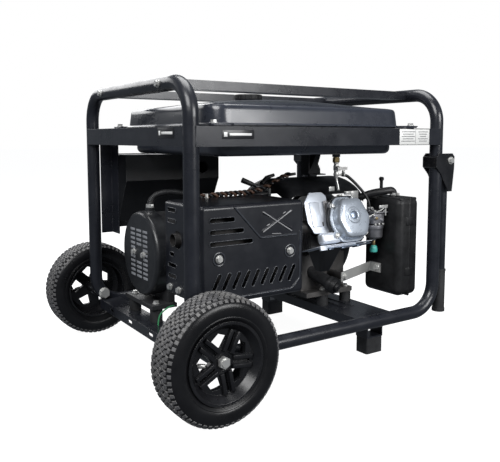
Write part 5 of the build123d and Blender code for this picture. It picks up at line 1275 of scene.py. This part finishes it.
def area_light(name, place, target, size, power):
    """A rectangular lamp that faces a point, both in metres."""
    lamp = bpy.data.lights.new(name, "AREA")
    lamp.shape = "RECTANGLE"
    lamp.size, lamp.size_y = size
    lamp.energy = power
    obj = bpy.data.objects.new(name, lamp)
    obj.location = place
    obj.rotation_euler = (Vector(target) - Vector(place)).to_track_quat("-Z", "Y").to_euler()
    bpy.context.scene.collection.objects.link(obj)


def set_up_camera(lens):
    camera = bpy.data.cameras.new("camera")
    camera.lens = lens
    camera.sensor_width = 36
    camera.shift_y = CAMERA_SHIFT
    camera.clip_end = 50
    obj = bpy.data.objects.new("camera", camera)
    obj.location = at(*CAMERA_PLACE)
    obj.rotation_euler = (math.radians(90 - CAMERA_DROP), 0, math.radians(CAMERA_TURN))
    bpy.context.scene.collection.objects.link(obj)
    bpy.context.scene.camera = obj


def set_up_floor():
    """A pale floor that glows, kept out of reflections and bounced light."""
    bm = bmesh.new()
    bmesh.ops.create_grid(bm, x_segments=1, y_segments=1, size=FLOOR_REACH)
    mesh = bpy.data.meshes.new("floor")
    bm.to_mesh(mesh)
    bm.free()
    floor = bpy.data.objects.new("floor", mesh)
    bpy.context.scene.collection.objects.link(floor)
    material = bpy.data.materials.new("Floor")
    material.use_nodes = True
    shader = material.node_tree.nodes["Principled BSDF"]
    shader.inputs["Base Color"].default_value = (0.30, 0.30, 0.30, 1)
    shader.inputs["Roughness"].default_value = 0.9
    shader.inputs["Specular IOR Level"].default_value = 0.0
    shader.inputs["Emission Color"].default_value = (1, 1, 1, 1)
    shader.inputs["Emission Strength"].default_value = 0.95
    mesh.materials.append(material)
    floor.visible_glossy = False
    floor.visible_diffuse = False


def set_up_world(soft_light):
    """White to the camera, and a weaker bluish light on the object."""
    world = bpy.data.worlds.new("Studio")
    world.use_nodes = True
    tree = world.node_tree
    tree.nodes["Background"].inputs[0].default_value = (0.82, 0.90, 1, 1)
    tree.nodes["Background"].inputs[1].default_value = soft_light
    seen = tree.nodes.new("ShaderNodeBackground")
    seen.inputs[0].default_value = (1, 1, 1, 1)
    path = tree.nodes.new("ShaderNodeLightPath")
    mix = tree.nodes.new("ShaderNodeMixShader")
    tree.links.new(path.outputs["Is Camera Ray"], mix.inputs[0])
    tree.links.new(tree.nodes["Background"].outputs[0], mix.inputs[1])
    tree.links.new(seen.outputs[0], mix.inputs[2])
    tree.links.new(mix.outputs[0], tree.nodes["World Output"].inputs[0])
    bpy.context.scene.world = world


def set_up_stage(stage):
    """The camera, the floor, the world's light and four large lamps."""
    set_up_camera(stage.lens)
    set_up_floor()
    set_up_world(stage.soft_light)
    area_light("key", (-2.2, -1.6, 2.4), (0, 0, 0.35), (2.0, 1.4), stage.key_light * 1.3)
    area_light("front", (0.9, -2.9, 1.3), (0.1, 0, 0.3), (1.6, 1.0), stage.key_light * 0.85)
    area_light("top", (0.1, 0.2, 2.6), (0, 0, 0.4), (1.8, 1.8), stage.key_light * 0.9)
    area_light("far", (-0.2, 2.6, 1.6), (0, 0, 0.5), (3.0, 1.0), stage.key_light * 0.45)
    bpy.context.scene.view_settings.view_transform = "Standard"


STEPS = (GENERATOR_OT_stage, GENERATOR_OT_finishes, GENERATOR_OT_cords, GENERATOR_OT_wheels,
         GENERATOR_OT_tank, GENERATOR_OT_engine, GENERATOR_OT_guard, GENERATOR_OT_labels)
CLASSES = (GeneratorLook, GeneratorStage, *STEPS, GENERATOR_PT_panel)


def register():
    for cls in CLASSES:
        bpy.utils.register_class(cls)
    bpy.types.Scene.generator_look = bpy.props.PointerProperty(type=GeneratorLook)
    bpy.types.Scene.generator_stage = bpy.props.PointerProperty(type=GeneratorStage)


def unregister():
    del bpy.types.Scene.generator_stage
    del bpy.types.Scene.generator_look
    for cls in reversed(CLASSES):
        bpy.utils.unregister_class(cls)


def main():
    register()
    for step in STEPS:
        group, name = step.bl_idname.split(".")
        getattr(getattr(bpy.ops, group), name)()


if __name__ == "__main__":
    main()
